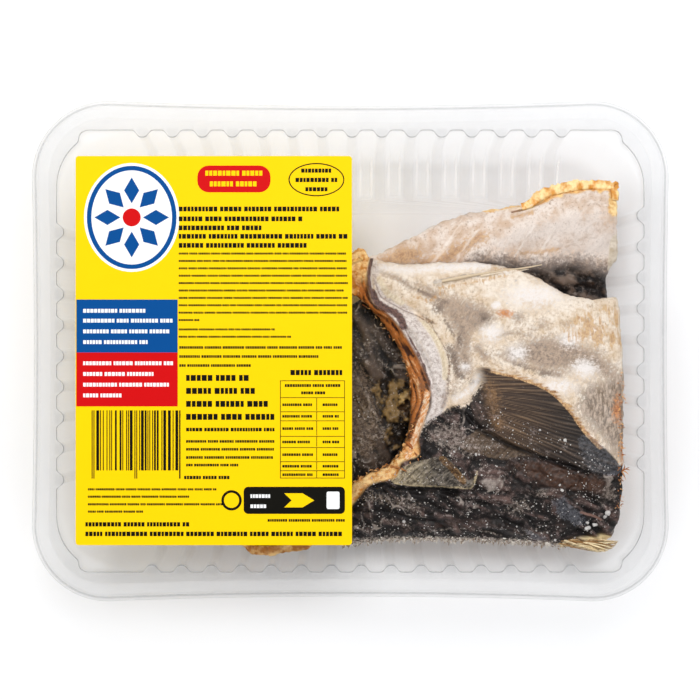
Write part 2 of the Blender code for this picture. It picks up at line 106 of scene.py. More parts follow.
# %% A socket that can be used in arithmetic
class Value:
    """The output of a node. Arithmetic on it adds Math nodes to its shader."""

    def __init__(self, shader, socket):
        self.shader = shader
        self.socket = socket

    def maths(self, operation, first, second):
        return self.shader.node("ShaderNodeMath", {"operation": operation}, {0: first, 1: second})

    def __add__(self, other):
        return self.maths("ADD", self, other)

    def __sub__(self, other):
        return self.maths("SUBTRACT", self, other)

    def __mul__(self, other):
        return self.maths("MULTIPLY", self, other)

    def __pow__(self, other):
        return self.maths("POWER", self, other)

    def __rsub__(self, other):
        return self.maths("SUBTRACT", other, self)

    __radd__ = __add__
    __rmul__ = __mul__

    def over(self, other):
        """The larger of two values."""
        return self.maths("MAXIMUM", self, other)


def colour(code):
    """A linear colour from a web code such as E2C9A0."""
    shades = [int(code[i:i + 2], 16) / 255 for i in (0, 2, 4)]
    return [s / 12.92 if s <= 0.04045 else ((s + 0.055) / 1.055) ** 2.4 for s in shades] + [1]


class Shader:
    """One material. Its nodes are added by Python expressions."""

    def __init__(self, name):
        self.material = bpy.data.materials.new(name)
        self.material.use_nodes = True
        self.tree = self.material.node_tree
        self.principled = self.tree.nodes["Principled BSDF"]

    def node(self, kind, settings=None, inputs=None, output=0):
        """Any node: its type, its settings, then the values or links of its sockets."""
        made = self.tree.nodes.new(kind)
        for name, value in (settings or {}).items():
            setattr(made, name, value)
        for name, value in (inputs or {}).items():
            self.feed(made.inputs[name], value)
        return Value(self, made.outputs[output])

    def feed(self, socket, value):
        if isinstance(value, Value):
            self.tree.links.new(value.socket, socket)
        else:
            socket.default_value = value

    def set(self, **values):
        """Values for the Principled shader; an underscore stands for a space in a name."""
        for name, value in values.items():
            self.feed(self.principled.inputs[name.replace("_", " ")], value)

    def millimetres(self):
        """The object's own coordinates, in millimetres."""
        place = self.node("ShaderNodeTexCoord", output="Object")
        return self.stretched(place, (1 / MM, 1 / MM, 1 / MM))

    def stretched(self, place, factors):
        return self.node("ShaderNodeVectorMath", {"operation": "MULTIPLY"},
                         {0: place, 1: factors})

    def noise(self, place, size, detail=3, roughness=0.6):
        """Soft random hills from 0 to 1, about size millimetres across."""
        return self.node("ShaderNodeTexNoise", None, {"Vector": place, "Scale": 1 / size,
                                                      "Detail": detail, "Roughness": roughness})

    def cells(self, place, size):
        """Distance from the middle of random cells about size millimetres across."""
        return self.node("ShaderNodeTexVoronoi", None, {"Vector": place, "Scale": 1 / size})

    def painted(self, name):
        """A value stored on the mesh's points."""
        return self.node("ShaderNodeAttribute", {"attribute_name": name}, output="Fac")

    def rise(self, value, low, high):
        """0 below low and 1 above high, with a soft step between."""
        return self.node("ShaderNodeMapRange", {"interpolation_type": "SMOOTHSTEP"},
                         {"Value": value, "From Min": low, "From Max": high})

    def blend(self, factor, first, second, how="MIX"):
        """A mix of two colours."""
        return self.node("ShaderNodeMix", {"data_type": "RGBA", "blend_type": how},
                         {0: factor, 6: first, 7: second}, output=2)

    def bump(self, height, depth, normal=None):
        """A normal from a height of 0 to 1 that stands for depth millimetres."""
        sockets = {"Strength": 1, "Distance": depth * MM, "Height": height}
        if normal is not None:
            sockets["Normal"] = normal
        return self.node("ShaderNodeBump", None, sockets)


print("shader helpers ready")

# %% [markdown]
# ## Plane geometry
#
# Every piece in this pack is drawn in plan: a tray, a film, a label and slabs of fish that lie
# flat. So the shapes come from outlines, distances to outlines, and heights over the plan. Numpy
# does this for tens of thousands of points at once, which gives relief down to half a millimetre
# without any sculpting.

# %% Curves and distances
CURVE_PARTS = 12
MERGE_WITHIN = 1e-6
# Random hills: the lattice they come from, and how seed and height go on from octave to octave.
LATTICE = (97, 89)
LATTICE_SHIFT = 31
SEED_STEP = 17
FINER_SHARE = 0.55


def smoothstep(low, high, value):
    """0 below low, 1 above high, with a soft ramp between."""
    t = np.clip((value - low) / (high - low), 0, 1)
    return t * t * (3 - 2 * t)


def spline(points, spacing, closed):
    """Points every spacing along a Catmull-Rom curve through the given points."""
    control = np.array(points, float)
    if closed:
        padded = np.vstack([control[-1], control, control[0], control[1]])
    else:
        first = 2 * control[0] - control[1]
        last = 2 * control[-1] - control[-2]
        padded = np.vstack([first, control, last])
    dense = []
    share = np.linspace(0, 1, CURVE_PARTS, endpoint=False)[:, None]
    for a, b, c, d in zip(padded[:-3], padded[1:-2], padded[2:-1], padded[3:]):
        square = share ** 2
        cube = share ** 3
        dense.append(0.5 * (2 * b + (c - a) * share + (2 * a - 5 * b + 4 * c - d) * square
                            + (3 * b - a - 3 * c + d) * cube))
    dense.append(padded[-2][None])
    dense = np.vstack(dense)
    run = np.concatenate([[0], np.cumsum(np.linalg.norm(np.diff(dense, axis=0), axis=1))])
    count = max(3, round(run[-1] / spacing))
    stops = np.linspace(0, run[-1], count + 1)
    if closed:
        stops = stops[:-1]
    return np.column_stack([np.interp(stops, run, dense[:, i]) for i in (0, 1)])


def distance(points, line, closed):
    """Shortest distance of each point to a polyline."""
    ends = np.vstack([line, line[:1]]) if closed else line
    best = np.full(len(points), np.inf)
    for a, b in zip(ends[:-1], ends[1:]):
        along = b - a
        share = np.clip((points - a) @ along / max(along @ along, 1e-12), 0, 1)
        gap = np.linalg.norm(points - a - share[:, None] * along, axis=1)
        best = np.minimum(best, gap)
    return best


def inside(points, loop):
    """True for each point that lies inside a closed loop."""
    result = np.zeros(len(points), bool)
    x, y = points[:, 0], points[:, 1]
    for (ax, ay), (bx, by) in zip(loop, np.roll(loop, -1, axis=0)):
        crosses = (ay > y) != (by > y)
        slope = (bx - ax) / (by - ay) if by != ay else 0
        result ^= crosses & (x < ax + (y - ay) * slope)
    return result


def depth(points, loop):
    """Distance to a closed loop, positive inside it and negative outside."""
    return np.where(inside(points, loop), 1, -1) * distance(points, loop, True)


def triangulate(points, loops):
    """Triangles over the first loop and outside the others; loops are runs of point numbers."""
    edges = [(a, b) for loop in loops for a, b in zip(loop, list(loop[1:]) + [loop[0]])]
    flat = [Vector((float(x), float(y))) for x, y in points]
    found = delaunay_2d_cdt(flat, edges, [], 0, MERGE_WITHIN)
    origin = [numbers[0] for numbers in found[3]]
    triangles = np.array([[origin[i] for i in face] for face in found[2]])
    middle = points[triangles].mean(axis=1)
    keep = inside(middle, points[loops[0]])
    for hole in loops[1:]:
        keep &= ~inside(middle, points[hole])
    return triangles[keep]


def numbered(loops):
    """Each loop's point numbers, when the loops' points follow one another."""
    runs, start = [], 0
    for loop in loops:
        runs.append(list(range(start, start + len(loop))))
        start += len(loop)
    return runs


def hexagonal(loop, spacing, margin):
    """Points of a hexagonal grid inside a loop, at least margin away from it."""
    low, high = loop.min(axis=0), loop.max(axis=0)
    rows = np.arange(low[1], high[1], spacing * math.sqrt(3) / 2)
    columns = np.arange(low[0], high[0], spacing)
    across = columns[None, :] + (np.arange(len(rows)) % 2)[:, None] * spacing / 2
    up = np.repeat(rows[:, None], len(columns), axis=1)
    grid = np.column_stack([across.ravel(), up.ravel()])
    return grid[depth(grid, loop) > margin]


def random_hills(points, size, seed, octaves=1):
    """Smooth random heights from about -1 to 1, with finer hills added for each octave."""
    total = np.zeros(len(points))
    amount = 1
    for octave in range(octaves):
        lattice = np.random.default_rng(seed + SEED_STEP * octave).uniform(-1, 1, LATTICE)
        place = points / (size / 2 ** octave) + LATTICE_SHIFT
        cell = np.floor(place).astype(int)
        share = place - cell
        share = share * share * (3 - 2 * share)
        i, j = cell[:, 0] % LATTICE[0], cell[:, 1] % LATTICE[1]
        k, m = (i + 1) % LATTICE[0], (j + 1) % LATTICE[1]
        low = lattice[i, j] * (1 - share[:, 0]) + lattice[k, j] * share[:, 0]
        high = lattice[i, m] * (1 - share[:, 0]) + lattice[k, m] * share[:, 0]
        total += amount * (low * (1 - share[:, 1]) + high * share[:, 1])
        amount *= FINER_SHARE
    return total


def turned(points, degrees, along, across):
    """Points in a frame turned by degrees and divided by along and across: stretches hills."""
    angle = math.radians(degrees)
    x, y = points.T
    return np.column_stack([(x * math.cos(angle) + y * math.sin(angle)) / along,
                            (y * math.cos(angle) - x * math.sin(angle)) / across])


print("a 10 mm circle's inside depth:", depth(np.zeros((1, 2)), 10 * np.array(
    [(math.cos(a), math.sin(a)) for a in np.linspace(0, 2 * math.pi, 32)[:-1]]))[0].round(2))

# %% Making a piece
def add_piece(name, points, faces, shader, slot, painted=None, smooth_angle=40):
    """A mesh object from points in millimetres, riding on the pack, with painted values."""
    mesh = bpy.data.meshes.new(name)
    mesh.from_pydata((np.asarray(points, float) * MM).tolist(), [],
                     [tuple(int(i) for i in face) for face in faces])
    for attribute, values in (painted or {}).items():
        layer = mesh.attributes.new(attribute, "FLOAT", "POINT")
        layer.data.foreach_set("value", np.asarray(values, np.float32))
    work = bmesh.new()
    work.from_mesh(mesh)
    bmesh.ops.recalc_face_normals(work, faces=work.faces[:])
    work.to_mesh(mesh)
    work.free()
    mesh.shade_smooth()
    mesh.set_sharp_from_angle(angle=math.radians(smooth_angle))
    mesh.materials.append(shader.material)
    piece = bpy.data.objects.new(name, mesh)
    bpy.context.scene.collection.objects.link(piece)
    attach(piece, "root")
    print(f"{name}: {len(mesh.vertices)} points, {len(mesh.polygons)} faces")
    return piece


print("points are given in steps of", MM, "m")

# %% [markdown]
# ## Clear plastic
#
# Thin clear sheet hardly bends the light that goes through it. Real refraction would need very
# many samples for a film that shows almost nothing, so each face here is mostly transparent, and
# its gloss is painted in as a share of pale haze: little where it is seen square on, much at a
# glancing angle, as Fresnel's law says. Where the sheet turns a corner, a real wall works as a lens
# and shows a dark line, so the mesh stores how sharply it bends and the material paints that dark
# line in as shade and thickens the sheet there. Where the mould's edges would mirror the soft box,
# the sheet is painted white and glows, as a painted highlight.

# %% The tray's clear sheet
# The sheet's tints and shares. The line tint and its haze paint the dark line of a bend in as shade; the
# highlight haze and glow paint a white, glowing highlight.
SHEET_TINT = "DCDDDE"
FLANGE_TINT = "8E9093"
SHEET_LINE_TINT = "5E6165"
SHEET_HAZE = 0.052
FLANGE_HAZE = 0.055
GLANCING_HAZE = 0.08
LINE_HAZE = 0.66
RIB_HAZE = 0.05
SHINE_HAZE = 0.34
SHINE_GLOW = 0.6
SHEET_ROUGHNESS = 0.12


def clear_sheet():
    shader = Shader("clear_tray_sheet")
    place = shader.millimetres()
    line = shader.rise(shader.painted("bend"), 0.34, 1)
    shine = shader.painted("shine")
    edge_on = shader.node("ShaderNodeLayerWeight", None, {"Blend": 0.35}, output="Facing")
    flow = shader.noise(place, 14, detail=2)
    haze = SHEET_HAZE + 0.03 * (flow - 0.5) + FLANGE_HAZE * shader.painted("flange")
    tint = shader.blend(shader.painted("flange"), colour(SHEET_TINT), colour(FLANGE_TINT))
    tint = shader.blend(line, tint, colour(SHEET_LINE_TINT))
    # Painted highlight: white and glowing where it is painted. Painted shade: the dark line of each bend.
    shader.set(Base_Color=shader.blend(shine, tint, colour("FFFFFF")),
               Emission_Color=shader.blend(shine, colour("000000"), colour("FFFFFF")),
               Roughness=SHEET_ROUGHNESS + 0.1 * flow,
               Alpha=haze + GLANCING_HAZE * (edge_on ** 2.5) + LINE_HAZE * line
               + RIB_HAZE * shader.painted("rib") + SHINE_HAZE * shine,
               Normal=shader.bump(flow, 0.10))
    shader.set(IOR=1.45, Specular_IOR_Level=0.5, Emission_Strength=SHINE_GLOW)
    return shader


TRAY_SHEET = clear_sheet()
print("the flat sheet covers", SHEET_HAZE, "and a sharp bend", LINE_HAZE, "more")

# %% [markdown]
# ## The tray
#
# A tray like this is drawn from one sheet into a mould with ribs all round, which stiffen the
# walls. It could be modelled as a box with an array of ribs and a Bevel, but a Bevel leaves ragged
# corners where ribs, ledge and floor meet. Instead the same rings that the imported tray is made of
# are computed again, and then every kink is rounded twice: once along the rings, for the ribs, and
# once down the wall, for the ledge and the floor.

# %% Sizes of the tray
TRAY_LENGTH = 227
TRAY_WIDTH = 178.4
TRAY_HEIGHT = 45
SHEET = 0.6
RIM_CORNER = 27.3
RIM_BOW_LONG = 1.7
RIM_BOW_SHORT = 0.7
LIP_WIDTH = 1.5
LIP_DROP = 2.8
OPENING_HALF_LENGTH = 104.2
OPENING_HALF_WIDTH = 78.4
OPENING_CORNER = 20
LOWER_CORNER = 22.5
LEDGE_DROP = 7.5
DRAFT = 0.078
STEEP_END = 9.4
FLOOR_EDGE_HALF_WIDTH = 69
CHANNEL_END_HALF_WIDTH = 58.7
PANEL_HALF_WIDTH = 57.5
PANEL_RISE = 1.2
PANEL_STEP_HALF_WIDTH = 52.3
PANEL_STEP = 0.25
PANEL_STEP_CORNER = 8
RIM_LAND = 3.6
RIM_STOPS_SHORT, RIM_STOPS_LONG, RIM_STOPS_CORNER = 21, 31, 25
RIB_DEPTH = 2.5
RIB_TOP_HALF = 1.15
RIB_FOOT_HALF = 3.15
LONG_RIBS = 15
LONG_PITCH = 10.64
SHORT_RIBS = 9
SHORT_PITCH = 11
RIB_SHIFT = {"right": 4.1, "far": 0.6, "left": -1.7, "near": 3.9}
CORNER_POINTS = 12
LOBE_REACH = 96.4

# The underside stops this far above the floor: two faces in one plane would hide each other.
FOOT_GAP = 0.04

# How round the mould's edges are: along a ring, and at each turn down the wall.
RIB_FILLET = 0.9
MOUTH_RING = 1.6
WALL_FILLETS = [0.32, 0.28, 0.4, 2.4, 3, 0.5, 0.5]
RIM_FILLETS = [1.2, 0.3, 0.3, 0.9]
# How dark each of those edges is painted, as the painted shade of a lens line in the clear sheet.
# The outside is painted less, so that each line stays single and thin.
OUTSIDE_SHOWS = 0.4
RIB_SHOWS = 0.58
WALL_SHOWS = [1, 0.1, 0.2, 0.15, 0.1, 0.5, 0.5]
RIM_SHOWS = [0.75, 1, 0.6, 0.4]
# Which of the wall's edges lie at its foot.
AT_FOOT = [0, 0, 0, 0, 0, 1, 1]
# Low on the far wall the ribs' ends get a painted highlight instead of a dark line: white that
# glows, standing for the soft box mirrored there. A faint one runs along the mouth as well.
SHINE_BELOW = 6
SHINE_FROM = 50
MOUTH_SHINE = 0.2
# How dark the step on the floor panel is painted, as a faint lens line.
STEP_SHOWS = 0.42
print("mouth:", 2 * OPENING_HALF_LENGTH, "x", 2 * OPENING_HALF_WIDTH, "mm")


# %% Rings of the cavity, from the flange down to the floor
def rib_stops(side, narrow):
    """(place along the side, on a rib) for the four points of every rib of one side."""
    long_side = side in ("far", "near")
    count, pitch = (LONG_RIBS, LONG_PITCH) if long_side else (SHORT_RIBS, SHORT_PITCH)
    stops = []
    for k in range(count):
        centre = (k - (count - 1) / 2) * pitch + RIB_SHIFT[side]
        foot, top = RIB_FOOT_HALF - narrow, RIB_TOP_HALF - narrow
        stops += [(centre - foot, 0), (centre - top, 1), (centre + top, 1), (centre + foot, 0)]
    return stops


def wall_line(place, half, radius, straight_half):
    """Distance from the middle to a rounded rectangle's side at a place along that side."""
    past = min(abs(place) - straight_half, radius)
    if past <= 0:
        return half
    return half - radius + math.sqrt(radius ** 2 - past ** 2)


def cavity_ring(half_width, corner, rib_depth, narrow=0, lobed=False):
    """One ring of the cavity wall, anticlockwise from the right side: points and rib marks."""
    half_length = half_width + OPENING_HALF_LENGTH - OPENING_HALF_WIDTH
    straight_x = half_length - corner
    straight_y = half_width - corner
    runs = {}
    for side in RIB_SHIFT:
        half, straight = (half_width, straight_x) if side in ("far", "near") else (
            half_length, straight_y)
        runs[side] = [(t, wall_line(t, half, corner, straight) - rib_depth * on_rib, on_rib)
                      for t, on_rib in rib_stops(side, narrow)]

    def corner_run(end_x, end_y):
        """Corner points in the first quadrant, from the short side to the long side."""
        if lobed:
            grow = half_width - OPENING_HALF_WIDTH
            arc = [(straight_x + corner * math.cos(a), straight_y + corner * math.sin(a))
                   for a in np.radians(np.linspace(0, 52, CORNER_POINTS - 3))]
            reach = LOBE_REACH + grow
            return arc + [(reach, half_width - 2.5), (reach - 0.8, half_width - 0.9),
                          (reach - 2.8, half_width)]
        low = math.asin(max(0, min(1, (end_y - straight_y) / corner)))
        high = math.acos(max(0, min(1, (end_x - straight_x) / corner)))
        angles = [low + (high - low) * k / (CORNER_POINTS + 1)
                  for k in range(1, CORNER_POINTS + 1)]
        return [(straight_x + corner * math.cos(a), straight_y + corner * math.sin(a))
                for a in angles]

    last = {side: [abs(runs[side][0][0]), abs(runs[side][-1][0])] for side in runs}
    ring = [(w, t, r) for t, w, r in runs["right"]]
    ring += [(x, y, 0) for x, y in corner_run(last["far"][1], last["right"][1])]
    ring += [(t, w, r) for t, w, r in reversed(runs["far"])]
    ring += [(-x, y, 0) for x, y in reversed(corner_run(last["far"][0], last["left"][1]))]
    ring += [(-w, t, r) for t, w, r in reversed(runs["left"])]
    ring += [(-x, -y, 0) for x, y in corner_run(last["near"][0], last["left"][0])]
    ring += [(t, -w, r) for t, w, r in runs["near"]]
    ring += [(x, -y, 0) for x, y in reversed(corner_run(last["near"][1], last["right"][0]))]
    return ring


def level(half_width, corner, height, rib_depth, rib_rise=0, narrow=0, lobed=False):
    """A cavity ring lifted to its height, with its rib points raised by rib_rise."""
    ring = cavity_ring(half_width, corner, rib_depth, narrow, lobed)
    return [(x, y, height + rib_rise * on_rib) for x, y, on_rib in ring]


def cavity_levels(outer):
    """The wall from the flange down to the floor panel; outer=True is the tray's outside."""
    grow = SHEET if outer else 0
    narrow = SHEET / 2 if outer else 0
    lift = FOOT_GAP if outer else SHEET
    top = TRAY_HEIGHT - grow
    ledge = TRAY_HEIGHT - LEDGE_DROP - grow
    ledge_width = OPENING_HALF_WIDTH - DRAFT * LEDGE_DROP + grow
    steep_width = OPENING_HALF_WIDTH - DRAFT * (TRAY_HEIGHT - STEEP_END) + grow
    mouth = OPENING_HALF_WIDTH + grow
    panel = lift + PANEL_RISE
    return np.array([
        level(mouth + MOUTH_RING, OPENING_CORNER + grow, top, RIB_DEPTH, 0, narrow, True),
        level(mouth, OPENING_CORNER + grow, top, RIB_DEPTH, 0, narrow, True),
        level(ledge_width, OPENING_CORNER + grow, ledge + 0.2, RIB_DEPTH, 0, narrow, True),
        level(ledge_width - 0.1, LOWER_CORNER + grow, ledge, RIB_DEPTH, 0, narrow),
        level(steep_width, LOWER_CORNER - 1, STEEP_END, 0.94 * RIB_DEPTH, 0, narrow),
        level(FLOOR_EDGE_HALF_WIDTH + grow / 2, 22, lift, 1.5, PANEL_RISE, narrow),
        level(CHANNEL_END_HALF_WIDTH, 11.2, lift, 0, PANEL_RISE, narrow),
        level(PANEL_HALF_WIDTH, 10, panel, 0, 0, narrow),
        level(PANEL_HALF_WIDTH - 0.8, 9.6, panel, 0, 0, narrow),
    ])


wall = cavity_levels(False)
print("a ring has", wall.shape[1], "points on", wall.shape[0], "levels")

# %% [markdown]
# Each kink is replaced with a short curve. `round_kinks` works on rows of points that belong
# together: it runs along the rows' second axis for the ribs, and with the axes swapped it runs
# down the wall. It also reports how sharply the sheet bends at each new point, which the clear
# material needs.

# %% Rounding kinks
CURVE_STOPS = np.array([0, 0.33, 0.67, 1])


def round_kinks(rows, reach, closed):
    """Rows of points (row, place, xyz) with each kink along a row made round, and its bend."""
    before = np.roll(rows, 1, axis=1) - rows
    after = np.roll(rows, -1, axis=1) - rows
    room_before = np.linalg.norm(before, axis=2, keepdims=True)
    room_after = np.linalg.norm(after, axis=2, keepdims=True)
    reach = np.broadcast_to(np.asarray(reach, float)[..., None], room_before.shape)
    start = before / room_before * np.minimum(reach, 0.45 * room_before)
    end = after / room_after * np.minimum(reach, 0.45 * room_after)
    cosine = (before * after).sum(axis=2) / (room_before * room_after)[..., 0]
    turn = np.sqrt(np.clip(1 - cosine ** 2, 0, 1))
    points, bends = [], []
    for t in CURVE_STOPS:
        points.append(rows + (1 - t) ** 2 * start + t ** 2 * end)
        bends.append(turn * (0.25 + 3 * t * (1 - t)))
    points = np.stack(points, axis=2)
    bends = np.stack(bends, axis=2)
    if closed:
        return points.reshape(len(rows), -1, 3), bends.reshape(len(rows), -1)
    middle = points[:, 1:-1].reshape(len(rows), -1, 3)
    flat = bends[:, 1:-1].reshape(len(rows), -1)
    zero = np.zeros((len(rows), 1))
    return (np.concatenate([rows[:, :1], middle, rows[:, -1:]], axis=1),
            np.concatenate([zero, flat, zero], axis=1))


def rounded_wall(levels):
    """The wall's rows of points with every edge rounded, and its painted values."""
    rings, ring_bend = round_kinks(levels, np.full(levels.shape[:2], RIB_FILLET), True)
    columns = rings.transpose(1, 0, 2)
    fillets = np.array([0, *WALL_FILLETS, 0])
    reach = np.broadcast_to(fillets, columns.shape[:2])
    columns, wall_bend = round_kinks(columns, reach, False)
    spread = np.concatenate([ring_bend[:1], np.repeat(ring_bend[1:-1], len(CURVE_STOPS), axis=0),
                             ring_bend[-1:]])
    shows = np.repeat(WALL_SHOWS, len(CURVE_STOPS))
    wall_bend[:, 1:-1] *= shows
    rib = np.array([mark for _, _, mark in cavity_ring(OPENING_HALF_WIDTH, OPENING_CORNER, 0)])
    rib = np.broadcast_to(np.repeat(rib, len(CURVE_STOPS)), spread.shape)
    rounded = columns.transpose(1, 0, 2)
    # A painted highlight, white and glowing, low on the far wall in place of the dark line, and faint by
    # the mouth.
    lower = (rounded[:, :, 2] < SHINE_BELOW) & (rounded[:, :, 1] > SHINE_FROM)
    at_foot = np.concatenate([[0], np.repeat(AT_FOOT, len(CURVE_STOPS)), [0]])
    ends = wall_bend.T * at_foot[:, None]
    shine = np.where(lower, np.maximum(spread * (spread > 0.4), ends), 0) * (1 - rib)
    shine[1] = MOUTH_SHINE
    bend = np.where(lower, 0, np.maximum(wall_bend.T, RIB_SHOWS * spread))
    return rounded, {"bend": bend, "rib": rib, "shine": np.clip(shine, 0, 1)}


def panel_step(lift):
    """The shallow step on the floor panel: two rounded rectangles, one a little lower."""
    rows = []
    for inset, drop in ((0, 0), (0.25, 0.02), (0.75, PANEL_STEP - 0.02), (1, PANEL_STEP)):
        half_y = PANEL_STEP_HALF_WIDTH - inset
        half_x = half_y + OPENING_HALF_LENGTH - OPENING_HALF_WIDTH
        row = []
        for quarter, (sign_x, sign_y) in enumerate(((1, 1), (-1, 1), (-1, -1), (1, -1))):
            for a in (quarter + np.linspace(0, 1, 9)) * math.pi / 2:
                row.append((sign_x * (half_x - PANEL_STEP_CORNER) + PANEL_STEP_CORNER * math.cos(a),
                            sign_y * (half_y - PANEL_STEP_CORNER) + PANEL_STEP_CORNER * math.sin(a),
                            lift + PANEL_RISE - drop))
        rows.append(row)
    return np.array(rows)


def rim_loop(inset, height):
    """The outer rim moved inward by inset, anticlockwise from the right side's lower end."""
    half_x = TRAY_LENGTH / 2 - inset
    half_y = TRAY_WIDTH / 2 - inset
    radius = RIM_CORNER - inset
    straight_x = half_x - radius
    straight_y = half_y - radius

    def bowed(half, straight, bow, stops):
        return [(t, half - bow * (1 - (t / straight) ** 2))
                for t in np.linspace(-straight, straight, stops)]

    short = bowed(half_x, straight_y, RIM_BOW_SHORT, RIM_STOPS_SHORT)
    long = bowed(half_y, straight_x, RIM_BOW_LONG, RIM_STOPS_LONG)
    arc = [(straight_x + radius * math.cos(a), straight_y + radius * math.sin(a))
           for a in np.linspace(0, math.pi / 2, RIM_STOPS_CORNER)[1:-1]]
    loop = [(w, t) for t, w in short] + arc
    loop += [(-t, w) for t, w in long] + [(-x, y) for x, y in reversed(arc)]
    loop += [(-w, -t) for t, w in short] + [(-x, -y) for x, y in arc]
    loop += [(t, -w) for t, w in long] + [(x, -y) for x, y in reversed(arc)]
    return [(x, y, height) for x, y in loop]


print("flange outline points:", len(rim_loop(0, 0)))


# %% The tray itself
def make_tray():
    inner, inner_paint = rounded_wall(cavity_levels(False))
    outer, outer_paint = rounded_wall(cavity_levels(True))
    rim_rows = np.array([
        rim_loop(RIM_LAND, TRAY_HEIGHT), rim_loop(LIP_WIDTH, TRAY_HEIGHT),
        rim_loop(0, TRAY_HEIGHT - LIP_DROP), rim_loop(SHEET, TRAY_HEIGHT - LIP_DROP),
        rim_loop(LIP_WIDTH + SHEET / 2, TRAY_HEIGHT - SHEET),
        rim_loop(RIM_LAND, TRAY_HEIGHT - SHEET),
    ])
    columns = rim_rows.transpose(1, 0, 2)
    reach = np.broadcast_to([0, *RIM_FILLETS, 0], columns.shape[:2])
    columns, rim_bend = round_kinks(columns, reach, False)
    rim_bend[:, 1:-1] *= np.repeat(RIM_SHOWS, len(CURVE_STOPS))
    rim, rim_bend = columns.transpose(1, 0, 2), rim_bend.T
    points, faces = [], []
    painted = {"bend": [], "rib": [], "shine": []}

    def place(rows, paint):
        start = sum(len(p) for p in points)
        points.append(rows.reshape(-1, 3))
        for key, values in painted.items():
            values.append(np.broadcast_to(paint.get(key, 0), rows.shape[:2]).reshape(-1))
        return start + np.arange(rows.shape[0] * rows.shape[1]).reshape(rows.shape[:2])

    def join(numbers):
        for a, b in zip(numbers[:-1], numbers[1:]):
            faces.extend(zip(a, np.roll(a, -1), np.roll(b, -1), b))

    inner_rows = place(inner, inner_paint)
    outer_bend = OUTSIDE_SHOWS * outer_paint["bend"]
    outer_rows = place(outer, {**outer_paint, "bend": outer_bend, "shine": 0})
    rim_numbers = place(rim, {"bend": rim_bend})
    inner_step, outer_step = panel_step(SHEET), panel_step(0)
    step_paint = {"bend": np.array([[0], [STEP_SHOWS], [STEP_SHOWS], [0]])}
    inner_steps = place(inner_step, step_paint)
    outer_steps = place(outer_step, step_paint)
    for rows in (inner_rows, outer_rows, rim_numbers, inner_steps, outer_steps):
        join(rows)
    everything = np.vstack(points)

    def flat(loops):
        numbers = np.concatenate(loops)
        faces.extend(numbers[triangulate(everything[numbers, :2], numbered(loops))])

    flat([rim_numbers[0], inner_rows[0]])
    flat([rim_numbers[-1], outer_rows[0]])
    flat([inner_rows[-1], inner_steps[0]])
    flat([outer_rows[-1], outer_steps[0]])
    flat([inner_steps[-1]])
    flat([outer_steps[-1]])
    painted = {key: np.concatenate(values) for key, values in painted.items()}
    painted["flange"] = smoothstep(TRAY_HEIGHT - 4, TRAY_HEIGHT - 1, everything[:, 2])
    tray = add_piece("clear_tray", everything, faces, TRAY_SHEET, "clear_tray", painted,
                     smooth_angle=55)
    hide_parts("tray")
    return tray


make_tray()

# %% [markdown]
# ## The film
#
# The lidding film is welded to the flange. A real one is thinner than a hair and shows only by
# the weld line and a breath of shine, so its material is nearly all transparent. A stored value
# marks the weld, a band between two distances from the rim.

# %% Film
REST_GAP = 0.3
FILM_THICKNESS = 0.2
FILM_INSET = 1.9
WELD_FROM, WELD_TO = 2.2, 6.8
FILM_GRID, FILM_GRID_MARGIN = 9, 5


def clear_film():
    shader = Shader("clear_lidding_film")
    place = shader.millimetres()
    weld = shader.painted("weld")
    edge_on = shader.node("ShaderNodeLayerWeight", None, {"Blend": 0.2}, output="Facing")
    drawn = shader.noise(shader.stretched(place, (0.3, 1, 1)), 26, detail=2)
    # Pale along the weld, and pale at a glancing angle as a painted sheen.
    shows = weld.over(edge_on ** 2)
    shader.set(Base_Color=shader.blend(shows, colour("101010"), colour("F4F5F6")),
               Roughness=0.06, Alpha=0.008 + 0.05 * weld + 0.2 * (edge_on ** 4),
               Normal=shader.bump(drawn, 0.35))
    return shader


def make_film():
    low = TRAY_HEIGHT + REST_GAP
    insets = [FILM_INSET, WELD_FROM + 0.4, WELD_FROM + 0.8, WELD_TO - 0.4, WELD_TO]
    loops = [np.array(rim_loop(inset, 0))[:, :2] for inset in insets]
    count = len(loops[0])
    middle = hexagonal(loops[-1], FILM_GRID, FILM_GRID_MARGIN)
    plan = np.vstack([*loops, middle])
    weld = np.concatenate([np.full(count, w) for w in (0, 0, 1, 1, 0)]
                          + [np.zeros(len(middle))])
    cap = triangulate(plan, [list(range(count))])
    lower = np.column_stack([plan, np.full(len(plan), low)])
    upper = lower + (0, 0, FILM_THICKNESS)
    faces = [*cap, *(cap[:, ::-1] + len(plan))]
    for i in range(count):
        j = (i + 1) % count
        faces.append((i, j, j + len(plan), i + len(plan)))
    film = add_piece("lidding_film_clear", np.vstack([lower, upper]), faces, clear_film(),
                     "clear_film", {"weld": np.concatenate([weld, weld])})
    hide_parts("lidding_film")
    return film


make_film()

# %% [markdown]
# ## The label
#
# The label is coated paper with a few flat inks, and its print is plain bars, fields and rings,
# set out as on any food label. Print could be a picture mapped on the paper, but cut shapes stay
# sharp at any distance. So each ink is one very thin layer of slabs, and fields, bars and rings
# are drawn in millimetres from the label's upper left corner, as a printer would place them.

# %% Paper and inks
LABEL_THICKNESS = 0.2
LABEL_LENGTH = 138
LABEL_WIDTH = 98
LABEL_CENTRE = (-48.4, 0.2)
LABEL_CORNER = 1.2
LABEL_LOW = TRAY_HEIGHT + FILM_THICKNESS + 2 * REST_GAP
PAPER_TOP = 0.12
FIELD_TOP = 0.16
INK_FOOT = 0.02


